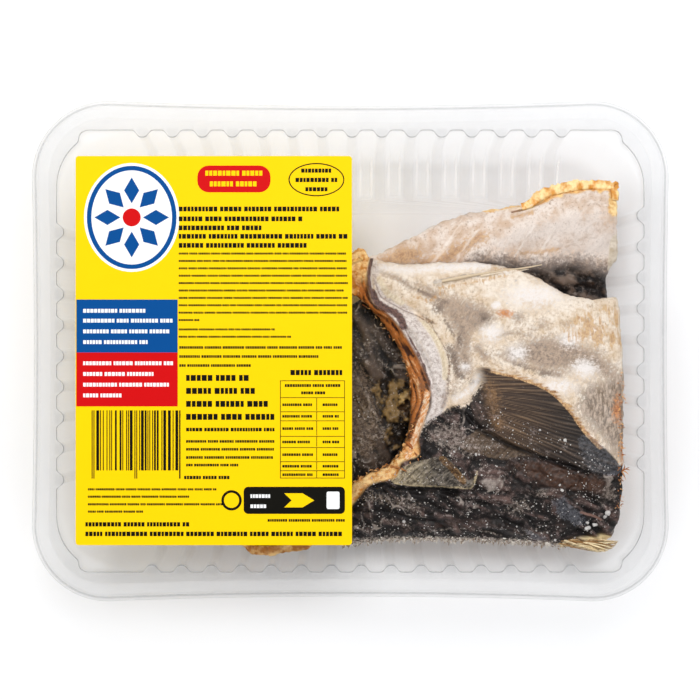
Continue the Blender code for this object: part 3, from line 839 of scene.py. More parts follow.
def coated_paper(name, code, shade, gloss):
    """Coated paper or a flat ink: an even colour with faint clouds, fibre and a soft sheen."""
    shader = Shader(name)
    place = shader.millimetres()
    clouds = shader.noise(place, 7, detail=4)
    fibre = shader.noise(place, 0.35, detail=2)
    shader.set(Base_Color=shader.blend(0.75 * clouds * fibre, colour(code), colour(shade)),
               Roughness=gloss + 0.12 * clouds, Normal=shader.bump(fibre, 0.006))
    shader.set(Specular_IOR_Level=0.06)
    return shader


YELLOW = coated_paper("yellow_coated_paper", "FFD400", "F6C800", 0.42)
BLACK_INK = coated_paper("black_ink", "0D0C08", "1C1A12", 0.40)
BLUE_INK = coated_paper("blue_ink", "004C92", "004484", 0.38)
RED_INK = coated_paper("red_ink", "D00A0E", "C2080C", 0.38)
WHITE_INK = coated_paper("white_ink", "F7F8F9", "ECEEF0", 0.40)


def bar(left, top, right, bottom, radius=0):
    """A rectangle on the label, in millimetres from its upper left corner."""
    if radius == 0:
        return [(left, bottom), (right, bottom), (right, top), (left, top)]
    corners = [(right - radius, bottom - radius, 0), (left + radius, bottom - radius, 1),
               (left + radius, top + radius, 2), (right - radius, top + radius, 3)]
    return [(u + radius * math.cos(a), v + radius * math.sin(a))
            for u, v, quarter in corners
            for a in np.linspace(quarter, quarter + 1, 6) * math.pi / 2]


def oval(u, v, half_width, half_height, steps=64):
    return [(u + half_width * math.cos(a), v + half_height * math.sin(a))
            for a in np.linspace(0, 2 * math.pi, steps, endpoint=False)]


def dashes(left, right, middle, height, rng, longest=9):
    """A row of small blocks in groups of uneven length."""
    row, at = [], left
    while at < right - height:
        end = min(right, at + rng.uniform(2.4, longest) * height / 1.1)
        while at < end - 0.3 * height:
            wide = height * rng.uniform(0.42, 0.72)
            row.append(bar(at, middle - 0.42 * height, at + wide, middle + 0.42 * height))
            at += wide + 0.15 * height
        at += 0.36 * height
    return row


def print_layer(name, shapes, shader, foot, top):
    """One ink: a slab for each shape, or a ring where a shape is a pair of outlines."""
    points, faces = [], []
    left = LABEL_CENTRE[0] - LABEL_WIDTH / 2
    upper = LABEL_CENTRE[1] + LABEL_LENGTH / 2
    for shape in shapes:
        loops = shape if isinstance(shape, tuple) else (shape,)
        plan = np.vstack([np.array(loop) for loop in loops])
        runs = numbered(loops)
        count = len(plan)
        first = sum(len(p) for p in points)
        across, down = left + plan[:, 0], upper - plan[:, 1]
        for height in (foot, top):
            points.append(np.column_stack([across, down, np.full(count, LABEL_LOW + height)]))
        cap = triangulate(plan, runs) if len(plan) > 4 else np.array([(0, 1, 2), (0, 2, 3)])
        faces += [*(cap[:, ::-1] + first), *(cap + first + count)]
        for run in runs:
            for i, j in zip(run, run[1:] + run[:1]):
                faces.append((i + first, j + first, j + first + count, i + first + count))
    return add_piece(name, np.vstack(points), faces, shader, "yellow_label")


paper = print_layer("label_paper", [bar(0, 0, LABEL_WIDTH, LABEL_LENGTH, LABEL_CORNER)],
                    YELLOW, 0, PAPER_TOP)
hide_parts("label")

# %% Coloured fields
ROUNDEL = (19.9, 21.8)
ROUNDEL_HALF = (16.9, 19.3)
BLUE_FIELD = (0.3, 50.9, 36.2, 69.7)
RED_FIELD = (0.3, 69.7, 36.2, 88.8)
RED_PILL = (43.2, 3.4, 69.1, 12.9)
BLACK_BOX = (59.6, 117.3, 95.5, 126.9)
PALE_PANEL = (71, 118.3, 87.2, 125.9)
# Eight lozenges stand round the ring's middle; each has a long and a short half diagonal.
LOZENGES = 8
LOZENGE_RING = (8.6, 9.6)
LOZENGE_LONG, LOZENGE_SHORT = 4.6, 2.7
RING_FROM, RING_TO = 1, 2.6
DOT = 3.2
PILL_ROUND = 4

lozenges = []
for k in range(LOZENGES):
    turn = 2 * k * math.pi / LOZENGES
    u = ROUNDEL[0] + LOZENGE_RING[0] * math.cos(turn)
    v = ROUNDEL[1] + LOZENGE_RING[1] * math.sin(turn)
    lozenges.append([(u + r * math.cos(turn + a), v + r * math.sin(turn + a))
                     for r, a in ((LOZENGE_LONG, 0), (LOZENGE_SHORT, math.pi / 2),
                                  (LOZENGE_LONG, math.pi), (LOZENGE_SHORT, 1.5 * math.pi))])
outer, inner = [oval(*ROUNDEL, ROUNDEL_HALF[0] - inset, ROUNDEL_HALF[1] - inset)
                for inset in (RING_FROM, RING_TO)]
print_layer("label_white_fields", [oval(*ROUNDEL, *ROUNDEL_HALF), bar(*PALE_PANEL, 0.8)],
            WHITE_INK, INK_FOOT, FIELD_TOP + 0.01)
print_layer("label_blue_fields", [bar(*BLUE_FIELD), *lozenges, (outer, inner)],
            BLUE_INK, INK_FOOT, LABEL_THICKNESS - 0.01)
print_layer("label_red_fields", [bar(*RED_FIELD), bar(*RED_PILL, PILL_ROUND),
                                 oval(*ROUNDEL, DOT, DOT)],
            RED_INK, INK_FOOT, FIELD_TOP + 0.02)

# %% Black bars, rings, table and bar pattern
TITLE_ROWS = [(18.8, 94.3), (22.3, 81.2), (25.5, 66.3), (28.5, 96.6), (31.7, 83.7)]
SMALL_ROWS = [(34.6 + 2.62 * k, 96.3 if k < 9 else 44) for k in range(10)]
NOTE_ROWS = [(61.5, 70.5), (64.1, 76.6)]
MIDDLE_ROWS = [(67.9, 94.7), (71.1, 87.6), (74.3, 62.4)]
BOLD_ROWS = [(78.7, 61.7), (83.3, 63.1), (87.9, 68.1), (92.5, 70.2)]
LOWER_ROWS = [(101.2, 70.5), (104, 70.5), (106.9, 70.5), (109.6, 58.1)]
FOOT_ROWS = [(118.2, 49.6), (120.8, 40), (123.5, 52), (126.1, 24)]
TABLE = (72.5, 79.6, 95.5, 114.3)
TABLE_DIVIDER = 85.4
TABLE_LINES = [85.6, 90.6, 93.8, 99.3, 103.3, 108.3, 111.5]
STRIPES = (5.7, 90.2, 37.2, 111.5)
GUARD_DROP = 2.9
STRIPE_WIDTHS = [0.33, 0.33, 0.66, 0.99]

# left end, height, longest group, then the (middle, right end) of each row
ROWS = [
    (36.6, 2, 9, TITLE_ROWS), (36.6, 0.85, 9, SMALL_ROWS + NOTE_ROWS),
    (36.8, 1.1, 9, MIDDLE_ROWS), (39.2, 2.5, 5.5, BOLD_ROWS), (76.2, 2.2, 9, [(76.8, 94.3)]),
    (39.2, 1.5, 9, [(97, 71.3)]), (39.2, 1.1, 9, LOWER_ROWS),
    (38.5, 1.4, 9, [(114, 54.2)]), (4.4, 0.9, 9, FOOT_ROWS),
    (3.5, 1.8, 9, [(130.6, 40)]), (3.5, 1.9, 9, [(134, 95)]),
    (68.1, 1.1, 9, [(129.2, 95.6)]), (80, 1.7, 9, [(5.2, 91)]),
    (78, 1.8, 9, [(8.5, 93)]), (81.5, 1.7, 9, [(11.8, 89)]),
]
TABLE_HEADS = [(74.2, 94, 81.4), (80, 88.5, 84)]
# middle, half sizes, line width of the thin oval and the small ring
RINGS = [((85.4, 8.4), (9.9, 5.9), 0.4), ((55.3, 122.1), (3.6, 3.6), 0.9)]
LINE = 0.22
CLEAR = 0.02
LABEL_SEED = 5

rng = np.random.default_rng(LABEL_SEED)
black = []
for left, height, longest, rows in ROWS:
    for middle, right in rows:
        black += dashes(left, right, middle, height, rng, longest)
for centre, half, width in RINGS:
    black.append((oval(*centre, *half), oval(*centre, half[0] - width, half[1] - width)))
black.append(bar(*BLACK_BOX, 1.6))
black.append((bar(*TABLE),
              bar(TABLE[0] + LINE, TABLE[1] + LINE, TABLE[2] - LINE, TABLE[3] - LINE)))
cell_left, cell_right = TABLE[0] + LINE + CLEAR, TABLE[2] - LINE - CLEAR
for top in TABLE_LINES:
    black.append(bar(cell_left, top, cell_right, top + LINE))
for top, bottom in zip(TABLE_LINES, [*TABLE_LINES[1:], TABLE[3]]):
    black.append(bar(TABLE_DIVIDER, top + LINE + CLEAR, TABLE_DIVIDER + LINE,
                     bottom - LINE - CLEAR))
    middle = (top + bottom + LINE) / 2
    black += dashes(cell_left + 0.6, TABLE_DIVIDER - 1.2, middle, 1.1, rng)
    black += dashes(TABLE_DIVIDER + 2.2, cell_right - 2, middle, 1.1, rng)
for left, right, middle in TABLE_HEADS:
    black += dashes(left, right, middle, 1.2, rng)
at, count = STRIPES[0], 0
while at < STRIPES[2]:
    width = rng.choice(STRIPE_WIDTHS)
    guard = at < STRIPES[0] + 1.2 or at > STRIPES[2] - 1.4 or 20.6 < at < 21.8
    black.append(bar(at, STRIPES[1], min(at + width, STRIPES[2]),
                     STRIPES[3] + (GUARD_DROP if guard else 0)))
    at += width + rng.choice(STRIPE_WIDTHS)
    count += 1
print_layer("label_black_print", black, BLACK_INK, INK_FOOT, LABEL_THICKNESS - 0.02)
print("stripes:", count, "black shapes:", len(black))

# %% Light bars on the coloured fields
# left end, height, then the (middle, right end) of each row
LIGHT_ROWS = [
    (2.7, 1.6, [(54.9, 24.5), (58.4, 34.2), (62.2, 33.8), (66, 25.6), (73.5, 34.6), (77.3, 29),
                (81.1, 33), (84.9, 16.5)]),
    (62, 1.5, [(124.2, 68.5), (120.6, 69.2)]),
]
GOLD_ROWS = [(46, 66.8, 6.1), (47.6, 64.6, 9.9)]
WHITE_BLOCK = (89, 119, 93.6, 125.2)
ARROW = [(74, 119.6), (80.5, 119.6), (84.6, 122.1), (80.5, 124.6), (74, 124.6), (76.6, 122.1)]

light = []
for left, height, rows in LIGHT_ROWS:
    for middle, right in rows:
        light += dashes(left, right, middle, height, rng)
light.append(bar(*WHITE_BLOCK, 0.6))
print_layer("label_light_print", light, WHITE_INK, INK_FOOT, LABEL_THICKNESS)
gold = []
for left, right, middle in GOLD_ROWS:
    gold += dashes(left, right, middle, 2.1, rng)
gold.append(ARROW)
print_layer("label_gold_print", gold, YELLOW, INK_FOOT, LABEL_THICKNESS)

# %% [markdown]
# ## The cutlets
#
# Dried salted saithe is hard as leather. Its belly skin is cream with a bloom of salt, its back
# nearly black, and at the cuts the flesh shows amber and flaky. Sculpting would do for the shape,
# but a plan outline and a height over it hold the same form exactly, so that the dressed cutlet
# lies where its plain solid lies. The heights below are the solid's own. Finer relief comes after.

# %% Plain shape of the cutlets
FISH_FLOOR = SHEET + PANEL_RISE + 0.4
PIECE_GAP = 1.2
COVER_MARGIN = 8
COVER_SLOPE = 1.2
UNDER_RADIUS = 12
BACK_UNDER_LIFT = 12
LEFT_UNDER_LIFT = 10
MAIN_UNDER_LIFT = 14.5
THINNEST = 1.2
LINE_STEP = 1.5
UNDER_STEP = 1.8
SIDE_ROWS = 16

MAIN_PROFILE_Y = [-74, -70, -66, -60, -50, -35, -20, 0, 20, 33, 38]
MAIN_PROFILE_Z = [20, 24, 28, 32.5, 36.5, 39.3, 40.3, 38.6, 34.5, 31.5, 30.5]
MAIN_CUT_FALL = 2
MAIN_COLLAR_FALL = 5
MAIN_EDGE_RADIUS = 4
MAIN_EDGE_DROP = 2.4
BACK_HEIGHT = 24
BACK_RIDGE = 4.5
LEFT_HEIGHT = 19.5
LEFT_HILL = 14.5
SIDE_EDGE_RADIUS = 6
BACK_EDGE_DROP = 5
LEFT_EDGE_DROP = 4
FOLD_HEIGHT = 1
FOLD_LENGTH = 5.2
ROLL_HEIGHT = 1.2
CREASE_DEPTH = 0.9
RAY_HEIGHT = 1.1
FIN_HEIGHT = 1.3
FLAP_HEIGHT = 1.4
FLESH_STEP = 2
FLESH_SLOPE = 0.55

MAIN_OUTLINE = [
    (-3.7, 32), (4.2, 36.5), (7.5, 34.3), (18, 32.1), (32, 32.6), (46.7, 32.5), (57.5, 30.7),
    (67, 27.4), (77.3, 21.3), (88, 19.1), (96.8, 19.3), (98, 5.8), (98.6, -8.6), (98.6, -24.8),
    (98.6, -44.6), (98.2, -59), (95.6, -68.6), (88.2, -72.4), (76.8, -71.7), (62.3, -70.4),
    (43.9, -69.6), (18.3, -69.6), (4.3, -71), (-3.4, -71), (-5.9, -60.8), (-3.3, -53.6), (3.5, -46.1),
    (13.6, -41.4), (19, -34.2), (21.5, -24.8), (21.2, -12.2), (18.6, -1.8), (12.9, 8.3), (6.4, 15.9),
    (-0.8, 22.7),
]
MAIN_SKIN_EDGE = [
    (7.5, 34.6), (6.2, 27.5), (7.1, 21.4), (8.9, 17), (14.4, 13), (18.7, 7.6), (22.7, 1.1),
    (26.3, -6.1), (28.8, -13.3), (29.2, -19.1), (27, -24.9), (24.8, -31), (24.8, -37.5), (18.7, -40.4),
    (16.5, -45.8), (7.8, -48.4), (3.5, -52.7), (-6, -66),
]
COLLAR_CREASE = [
    (11.8, 19.1), (17.9, 15.9), (25.1, 13), (29.4, 7.6), (32.7, 1.1), (34.8, -5), (35.2, -9),
]
BACK_OUTLINE = [
    (3.5, 32.5), (12.7, 37.3), (27.3, 44.6), (40, 50), (54.6, 52.9), (63.8, 54.4), (71.1, 58.8),
    (83.8, 61.7), (95, 61.9), (98, 59.5), (97.6, 44.2), (98, 34), (94.4, 27.8), (94.4, 16.8),
    (85.7, 7.9), (61.9, 4), (39, 9.5), (21, 18.5), (8, 25),
]
LEFT_OUTLINE = [
    (4.3, 19.4), (-5.6, 14.3), (-23.9, 11.4), (-47.6, 7.7), (-67.7, 1.1), (-79.8, -12.4),
    (-82.3, -28.8), (-75, -48.9), (-58.6, -63.6), (-41.2, -69.2), (-33.9, -73.2), (-20.6, -72.3),
    (-13.4, -69.9), (-10.2, -61.7), (-6.4, -56.6), (8.5, -46.5), (16.5, -39.5), (25.9, -20.4),
    (24.8, 0.4), (15.2, 13.2),
]
FIN_OUTLINE = [
    (43.5, -7.5), (49.2, -6), (61.6, -8.8), (71.2, -12.8), (78.5, -19.4), (84.9, -28.2), (90.2, -33.8),
    (96.4, -41), (89.3, -43.9), (78.6, -40.4), (67.8, -37.1), (55.3, -31.8), (45.7, -25.7),
    (42.8, -17.5),
]
FIN_ROOT = (20.6, -11.3)
FIN_RAY_STEP = math.radians(1.3)
FLAP_OUTLINE = [
    (14.6, -46.7), (19.7, -41.3), (28.7, -38.4), (34.1, -37.7), (39.5, -42.8), (43.1, -46.4),
    (45.9, -42), (44.5, -48.5), (42.3, -49.6), (32.3, -48.9), (19.7, -48.5),
]
BELLY_RAY = [(31.3, 24.6), (43.3, 27.1), (54.1, 28.8), (67.1, 30.2)]

MAIN_LOOP = spline(MAIN_OUTLINE, LINE_STEP, True)
BACK_LOOP = spline(BACK_OUTLINE, LINE_STEP, True)
LEFT_LOOP = spline(LEFT_OUTLINE, LINE_STEP, True)
FIN_LOOP = spline(FIN_OUTLINE, LINE_STEP, True)
SKIN_LINE = spline(MAIN_SKIN_EDGE, LINE_STEP, False)
CREASE_LINE = spline(COLLAR_CREASE, LINE_STEP, False)
RAY_LINE = spline(BELLY_RAY, LINE_STEP, False)


def rounded_drop(gap, radius, drop):
    """How far a surface falls near an edge: drop at the edge, nothing past radius."""
    t = np.clip(1 - gap / radius, 0, 1)
    return drop * (1 - np.sqrt(1 - t ** 2))


def bump(points, centre, spread, height):
    """A soft round hill."""
    x, y = (points - np.array(centre)).T
    return height * np.exp(-(x / spread[0]) ** 2 - (y / spread[1]) ** 2)


def back_crown(points):
    """The smooth skin height of the cutlet at the far side, without its rounded edges."""
    x, y = points.T
    height = BACK_HEIGHT + BACK_RIDGE * np.exp(-((y - 42) / 14) ** 2)
    height += 1.5 * smoothstep(20, 90, x) - 3 * smoothstep(30, 18, y)
    return height + 0.5 * np.sin(0.32 * x + 0.14 * y)


def left_crown(points):
    """The smooth skin height of the cutlet under the label: low at the collar, high in front."""
    x, y = points.T
    hill = bump(points, (-34, -63), (28, 32), LEFT_HILL)
    return LEFT_HEIGHT + hill + 0.7 * np.sin(0.16 * x - 0.22 * y)


def main_skin(points):
    """The large cutlet's skin: white belly at the far side, high flank, back rolling down."""
    x, y = points.T
    height = np.interp(y, MAIN_PROFILE_Y, MAIN_PROFILE_Z)
    height -= MAIN_CUT_FALL * smoothstep(84, 99, x)
    height -= MAIN_COLLAR_FALL * smoothstep(34, 6, x)
    height += bump(points, (22, 27), (16, 4.5), 1.6)
    height -= bump(points, (25, 20), (10, 2.5), 1.3)
    crease = distance(points, CREASE_LINE, False)
    height += ROLL_HEIGHT * np.exp(-((crease - 4.5) / 2.5) ** 2)
    height -= CREASE_DEPTH * np.exp(-(crease / 1) ** 2)
    ray = distance(points, RAY_LINE, False)
    return height + RAY_HEIGHT * np.exp(-(ray / 0.9) ** 2)


def flesh_gap(points):
    """Distance past the skin's edge at the collar: positive on the cut flesh."""
    closing = np.array([(-30, -66), (-30, 50), (7.5, 50)])
    side = np.where(inside(points, np.vstack([SKIN_LINE, closing])), 1, -1)
    return side * distance(points, SKIN_LINE, False)


def underside(points, edge_lift, loop, others=()):
    """The height of a cutlet's underside, resting on the floor and on the pieces below it."""
    low = FISH_FLOOR + rounded_drop(distance(points, loop, True), UNDER_RADIUS, edge_lift)
    for other_loop, crown in others:
        away = np.maximum(0, -depth(points, other_loop) - COVER_MARGIN)
        low = np.maximum(low, crown(points) + PIECE_GAP - COVER_SLOPE * away)
    return low


print("outline points:", len(MAIN_LOOP), len(BACK_LOOP), len(LEFT_LOOP))

# %% [markdown]
# ## Where the colours lie
#
# The skin's colours follow the fish: the belly, the flank, the back, the fin, and the cut. Each
# kind of colour is a mask over the plan, made of a few soft shapes: areas, strokes and spots, in
# millimetres. A mask is 1 well inside its shapes, one half on their edge, and 0 outside. The
# material then frays the edges with noise, so that no shape shows as one.

# %% Mask shapes
def area(points, outline, soft):
    return 0.5 + depth(points, spline(outline, LINE_STEP, True)) / (2 * soft)


def stroke(points, line, width, soft):
    gap = distance(points, spline(line, LINE_STEP, False), False)
    return 0.5 + (width / 2 - gap) / (2 * soft)


def spot(points, centre, radii, soft):
    away = np.linalg.norm((points - np.array(centre)) / np.array(radii), axis=1)
    return 0.5 + (1 - away) * min(radii) / (2 * soft)


def mask(points, shapes):
    """The union of some shapes, whose kinds follow from their form.

    An area is (outline, softness), a stroke ([points], width, softness), and a spot
    ((x, y), (half width, half height), softness).
    """
    total = np.zeros(len(points))
    for place, *sizes in shapes:
        kind = area if len(sizes) == 1 else stroke if isinstance(place, list) else spot
        total = np.maximum(total, kind(points, place, *sizes))
    return np.clip(total, 0, 1)


MAIN_MASKS = {
    "grey": [
        ([(52, -2), (64, 6), (80, 6), (94, -2), (96, -12), (84, -9), (70, -9)], 5),
        ([(28, 19.5), (36, 21.5), (46.7, 18.5), (54.5, 14), (51.5, 9), (43.5, 2.2), (40.5, -7.5),
         (38, -15.7), (34.9, -18.5), (37, -6.8), (36.8, 4), (32.8, 11)], 4.5),
        # The next two strokes and the last stroke of this list are painted shade: grey along the valley
        # between the belly's bump and the collar roll.
        ([(11.4, 28.8), (17, 26.5), (21, 23.6), (25.4, 21.4)], 2.6, 2.2),
        ([(25.4, 21.4), (29, 20), (33, 20.6)], 3.6, 2),
        ([(39, 5.5), (37.8, -2.5), (39.2, -8.5)], 4.6, 2.4),
        ([(56, -3), (62, -4.6), (68, -6.4), (74.8, -8.6)], 3.6, 2.4),
        ([(52, 5), (58, 6.5), (66.3, 4.7), (72, 2)], 2.6, 2.2), ([(45.6, 1), (48.8, -2.6)], 4.6, 2.4),
        ((77.5, 9.6), (3.2, 1.6), 2.2), ((85, 11), (1.8, 1.2), 1.6), ((69, 9), (4, 2.4), 3.4),
        ((60, 12), (3, 2), 3), ([(79, 2), (86, 0), (88, -6)], 2, 2.6),
        ([(38, 12), (42, 7), (41, 0), (42, -7)], 6, 3), ([(24, 24.4), (31, 21), (37, 19)], 3, 2.4),
    ],
    "brindle": [
        ([(82, -13), (90.4, -9.4), (101.2, -8.1), (102.5, -33.9), (95.9, -39.5), (87.5, -29.9),
         (80.6, -21.3)], 5),
    ],
    "smudge": [
        ([(35.6, 1), (37, -3), (38.4, -8)], 3.4, 2), ((44.4, -11), (2.8, 1), 1.3),
        ([(58.5, -4.4), (66, -7)], 1.8, 1.8), ((32, 15.5), (2.6, 2), 2), ((48, 12), (2.6, 2.2), 2.4),
        # The first stroke below is painted shade along the same valley below the belly's bump.
        ([(24, 22.6), (30, 19.4), (35, 17.4)], 1.4, 1.2), ((69.5, -8), (4, 1.4), 1.6),
        ((40, -9), (2.6, 1.5), 1.7), ((39.4, 4), (1.6, 3.4), 2.2), ([(34, 11), (37.4, 5.6)], 1.6, 1.6),
    ],
    "pale": [
        ((50.6, 6.4), (4.6, 3.6), 3.4), ((60, -0.5), (4.2, 3.4), 3.2), ((79, 4.2), (5, 3.4), 3.2),
        ((74, -12.6), (8, 3), 3.2), ([(38, -17), (43.2, -13.5), (46.4, -8.4)], 3, 2.4),
        ((41, -5.6), (2.2, 1.8), 1.8), ((84, -6), (5.5, 4), 3.4), ((52.6, 16.6), (2.2, 1.8), 1.6),
        ([(10, 30.5), (22, 29.4), (34, 30.4), (50, 31)], 4, 2.6), ((66, 20), (12, 5), 5),
    ],
    "lilac": [
        ([(8, 31), (8.6, 25), (12, 20.4), (19, 14.6), (24, 8.6), (28.6, 1), (31.2, -7), (32.4, -15),
         (31, -22)], 5.2, 1.8),
        ([(8.6, 22), (10, 17.6), (15.4, 13.6), (20, 8), (24, 1.4), (27.6, -6), (30, -13), (30.4, -19),
         (28.4, -24.6)], 4, 0.8),
    ],
    "cream": [
        ([(26.6, 10), (30.2, 5.6), (32.4, 0.6), (33.8, -4.4), (33.8, -9.4)], 2, 1),
        ([(10.6, 26), (13.5, 21), (18.5, 17.6)], 2.2, 1.6),
    ],
    "plum": [
        ([(7.8, 33.6), (6.6, 28.1), (7.3, 22.4), (9.1, 17.6)], 1.3, 0.8),
        ([(8, 21.4), (9.6, 17.8), (12.4, 15.8), (16.9, 13.4), (19.2, 8.8)], 2.6, 1.3),
        ([(19.2, 8.8), (22.6, 2.6), (26, -4.6), (28.6, -12)], 0.9, 1.2),
    ],
    "rust": [
        ([(9.4, 24.2), (11, 19.9), (15.3, 17.1), (20, 14.4), (25.5, 12), (29.4, 8.5), (32.1, 4.6),
         (34.5, -0.5), (35.6, -5.2), (35.1, -9.1)], 0.6, 0.35),
        ([(35.1, -9.1), (34.6, -15), (33, -20)], 1.8, 1.6), ([(26, 12.6), (30, 10)], 1.6, 1.2),
        ([(58.5, -40.7), (68.9, -39.2), (84, -43.6), (92.5, -47.2), (88.1, -51.7), (75.5, -50),
         (66.6, -46.9)], 2.4),
    ],
    "orange": [
        ((55.6, 13.6), (3.2, 1.9), 1.8), ((95.6, -21), (2, 5.6), 2.6), ((98.5, -36), (1.4, 7), 1.4),
        ([(98.6, -46), (98.2, -58), (96.4, -66)], 1.2, 0.6),
        ([(79, -23), (84.5, -29), (90.7, -35.2)], 0.9, 0.7),
    ],
    "raystripe": [([(30.6, 24.9), (37.3, 26.3), (46, 27.6)], 1.3, 0.7)],
    "ochre": [
        ((89.2, 4.9), (4.6, 3), 3), ((94.2, 4.2), (1.6, 3.6), 1.4), ((97, 3.6), (1.3, 3.2), 1.2),
        ((92.3, 14.8), (2.6, 1.8), 1.8), ((86.3, 12.6), (2.4, 1.6), 1.8), ((96.4, 12.1), (1.6, 3.6), 1.4),
        ((57, 29.6), (8, 0.8), 0.9), ((86, 8), (8, 5), 5),
        # These two strokes are painted shade: along the valley below the belly's bump, and the shadow
        # under the belly ray.
        ([(24, 19.5), (28, 18.2), (34, 21.6)], 1.4, 1.2),
        ([(31, 22.6), (38, 23.8), (46, 25.2), (56, 27.4)], 1.2, 1.2),
    ],
    "dark": [
        ([(10, -42), (22, -34), (25.6, -27.6), (32.1, -22.4), (38, -19.6), (41.5, -19.4), (48.4, -11),
         (53.4, -20.3), (74.9, -31), (89.4, -38.4), (96, -40.5), (103, -44.9), (107, -78), (-9, -79.3),
         (-4.5, -61.9)], 1.9),
    ],
    "gloss": [
        ([(55.5, -39.7), (67.9, -38.2), (85.9, -43.6), (93.5, -48.2), (90.1, -53.7), (75.5, -52),
         (64.6, -48.9), (59.1, -44.5)], 3.6),
        ([(28, -62.6), (40, -62), (52, -62.6), (60, -65.4)], 2.6, 1.4),
    ],
    "slate": [
        ([(73.2, -54.1), (77.3, -52.7), (79.3, -55.5), (85.4, -61.5), (82.7, -63.2), (78.6, -61.5),
         (74.6, -58.2)], 1.4),
        ([(63.4, -65), (69.2, -67.1), (72.3, -69), (67.6, -69.1)], 1.2),
        ([(81.6, -31.5), (85.7, -30.6), (95.7, -39.7), (97.1, -44.3), (86.6, -42.9), (83.4, -38.3)], 1),
    ],
    # Lighter grey streaks on the dark back: partly a film of salt, partly painted sheen.
    "sheen": [
        ([(30, -26), (38, -25), (44, -31), (53, -33), (44, -38), (34, -36), (27, -31)], 3),
        ([(7, -52.6), (15, -54), (24, -57)], 4.6, 2.4),
        ([(27, -66.2), (36.3, -64.6), (47.2, -65.3), (56.1, -67.8)], 0.9, 0.6),
        ([(8, -64), (14, -62), (22, -64)], 2, 1.8), ([(47, -41), (50, -45), (57, -50)], 2, 3),
        ((60, -56), (5, 3), 2.6), ((69, -51.5), (4, 2), 2.2), ((93, -52), (4, 4), 3),
        ((66, -66), (5, 1.6), 1.6), ([(54.8, -39), (60.2, -37.9), (69.8, -36.9)], 0.6, 0.4),
    ],
    "fray": [
        ([(-2, -71.4), (18.3, -70.4), (43.9, -70.2), (62.3, -71), (78, -72.2)], 2.4, 1.2),
        ([(-2, -70.2), (18.3, -68.9), (43.9, -68.8), (62.3, -69.6), (78, -70.8)], 2, 1.6),
        ([(94, -69.6), (98, -62), (98.6, -52)], 1, 0.9),
    ],
    "flap": [(FLAP_OUTLINE, 0.7)],
    "flapedge": [
        ([(16, -48), (22, -48.6), (32, -49), (39, -49), (42.6, -49.6), (44.4, -47.4),
         (45.6, -42.8)], 1.3, 0.9),
    ],
    "tan": [([(33, -38.6), (37.2, -42.6), (40.4, -46.6)], 2.4, 0.7)],
    "web": [
        ([(47, -27.8), (53.8, -30.6), (69.8, -36.5), (60.2, -37.8), (54.8, -39), (45.6, -37),
         (39.8, -35), (41.1, -31.5)], 1.4),
    ],
    "finroot": [((50, -17), (3.6, 6), 3), ([(47, -22), (53, -26)], 5, 3.2)],
    "fintip": [
        ([(51.5, -6.6), (61.4, -9.2), (70.8, -13.2), (78, -19.8), (84.4, -28.5),
         (89.4, -33.8)], 2.6, 0.8),
    ],
    "pink": [([(83.3, -58.2), (88, -59.6), (91, -61.2)], 0.8, 0.6)],
    "tendon": [([(27.8, -15), (26.8, -21), (24.8, -27), (22.6, -33), (20.6, -38)], 2.2, 0.8)],
}
# Grooves, painted nearly black as their shadow: under the fin's lower edge, under the flap, and in the
# folds of the back.
MAIN_GROOVES = [
    # line, width, depth
    ([(36.5, -20.8), (41, -22.6), (45.4, -27.2), (50.4, -30.6), (57, -33.8), (64, -36.4), (72, -39.4),
      (79, -41.6), (86, -43.6)], 0.9, 1.5),
    ([(9, -50), (19, -50.2), (29, -50.6), (39.4, -51), (44.8, -50.8)], 1, 1.6),
    ([(4, -58.6), (11.8, -58.2), (19, -59.8), (26.5, -61.6), (34, -61.4)], 0.9, 1.1),
    ([(42, -53.5), (48, -55.5), (56, -60.6), (64, -64.4)], 1, 1.1),
    ([(10.9, -67.3), (25.4, -67.8), (39.8, -66.9), (50.8, -67.6)], 0.7, 0.7),
    ([(71, -62.4), (76, -64.6), (83, -65.6), (92, -63.8)], 0.8, 1),
    ([(44.2, -39.5), (42.6, -43), (43.2, -46.4)], 0.8, 0.9),
    ([(60, -51.4), (68, -53.6), (72, -56.6)], 0.9, 0.8),
    ([(78, -50.8), (86, -51.6), (94, -55)], 1.2, 0.6),
]


def groove_depth(points, grooves):
    """How deep the grooves cut, and a mask of 1 along their bottoms, where shadow is painted."""
    total = np.zeros(len(points))
    shade = np.zeros(len(points))
    for line, width, deep in grooves:
        gap = distance(points, spline(line, LINE_STEP, False), False)
        shape = np.exp(-(gap / width) ** 2)
        total = np.maximum(total, deep * shape)
        shade = np.maximum(shade, shape)
    return total, shade


print("kinds of colour on the large cutlet:", len(MAIN_MASKS))

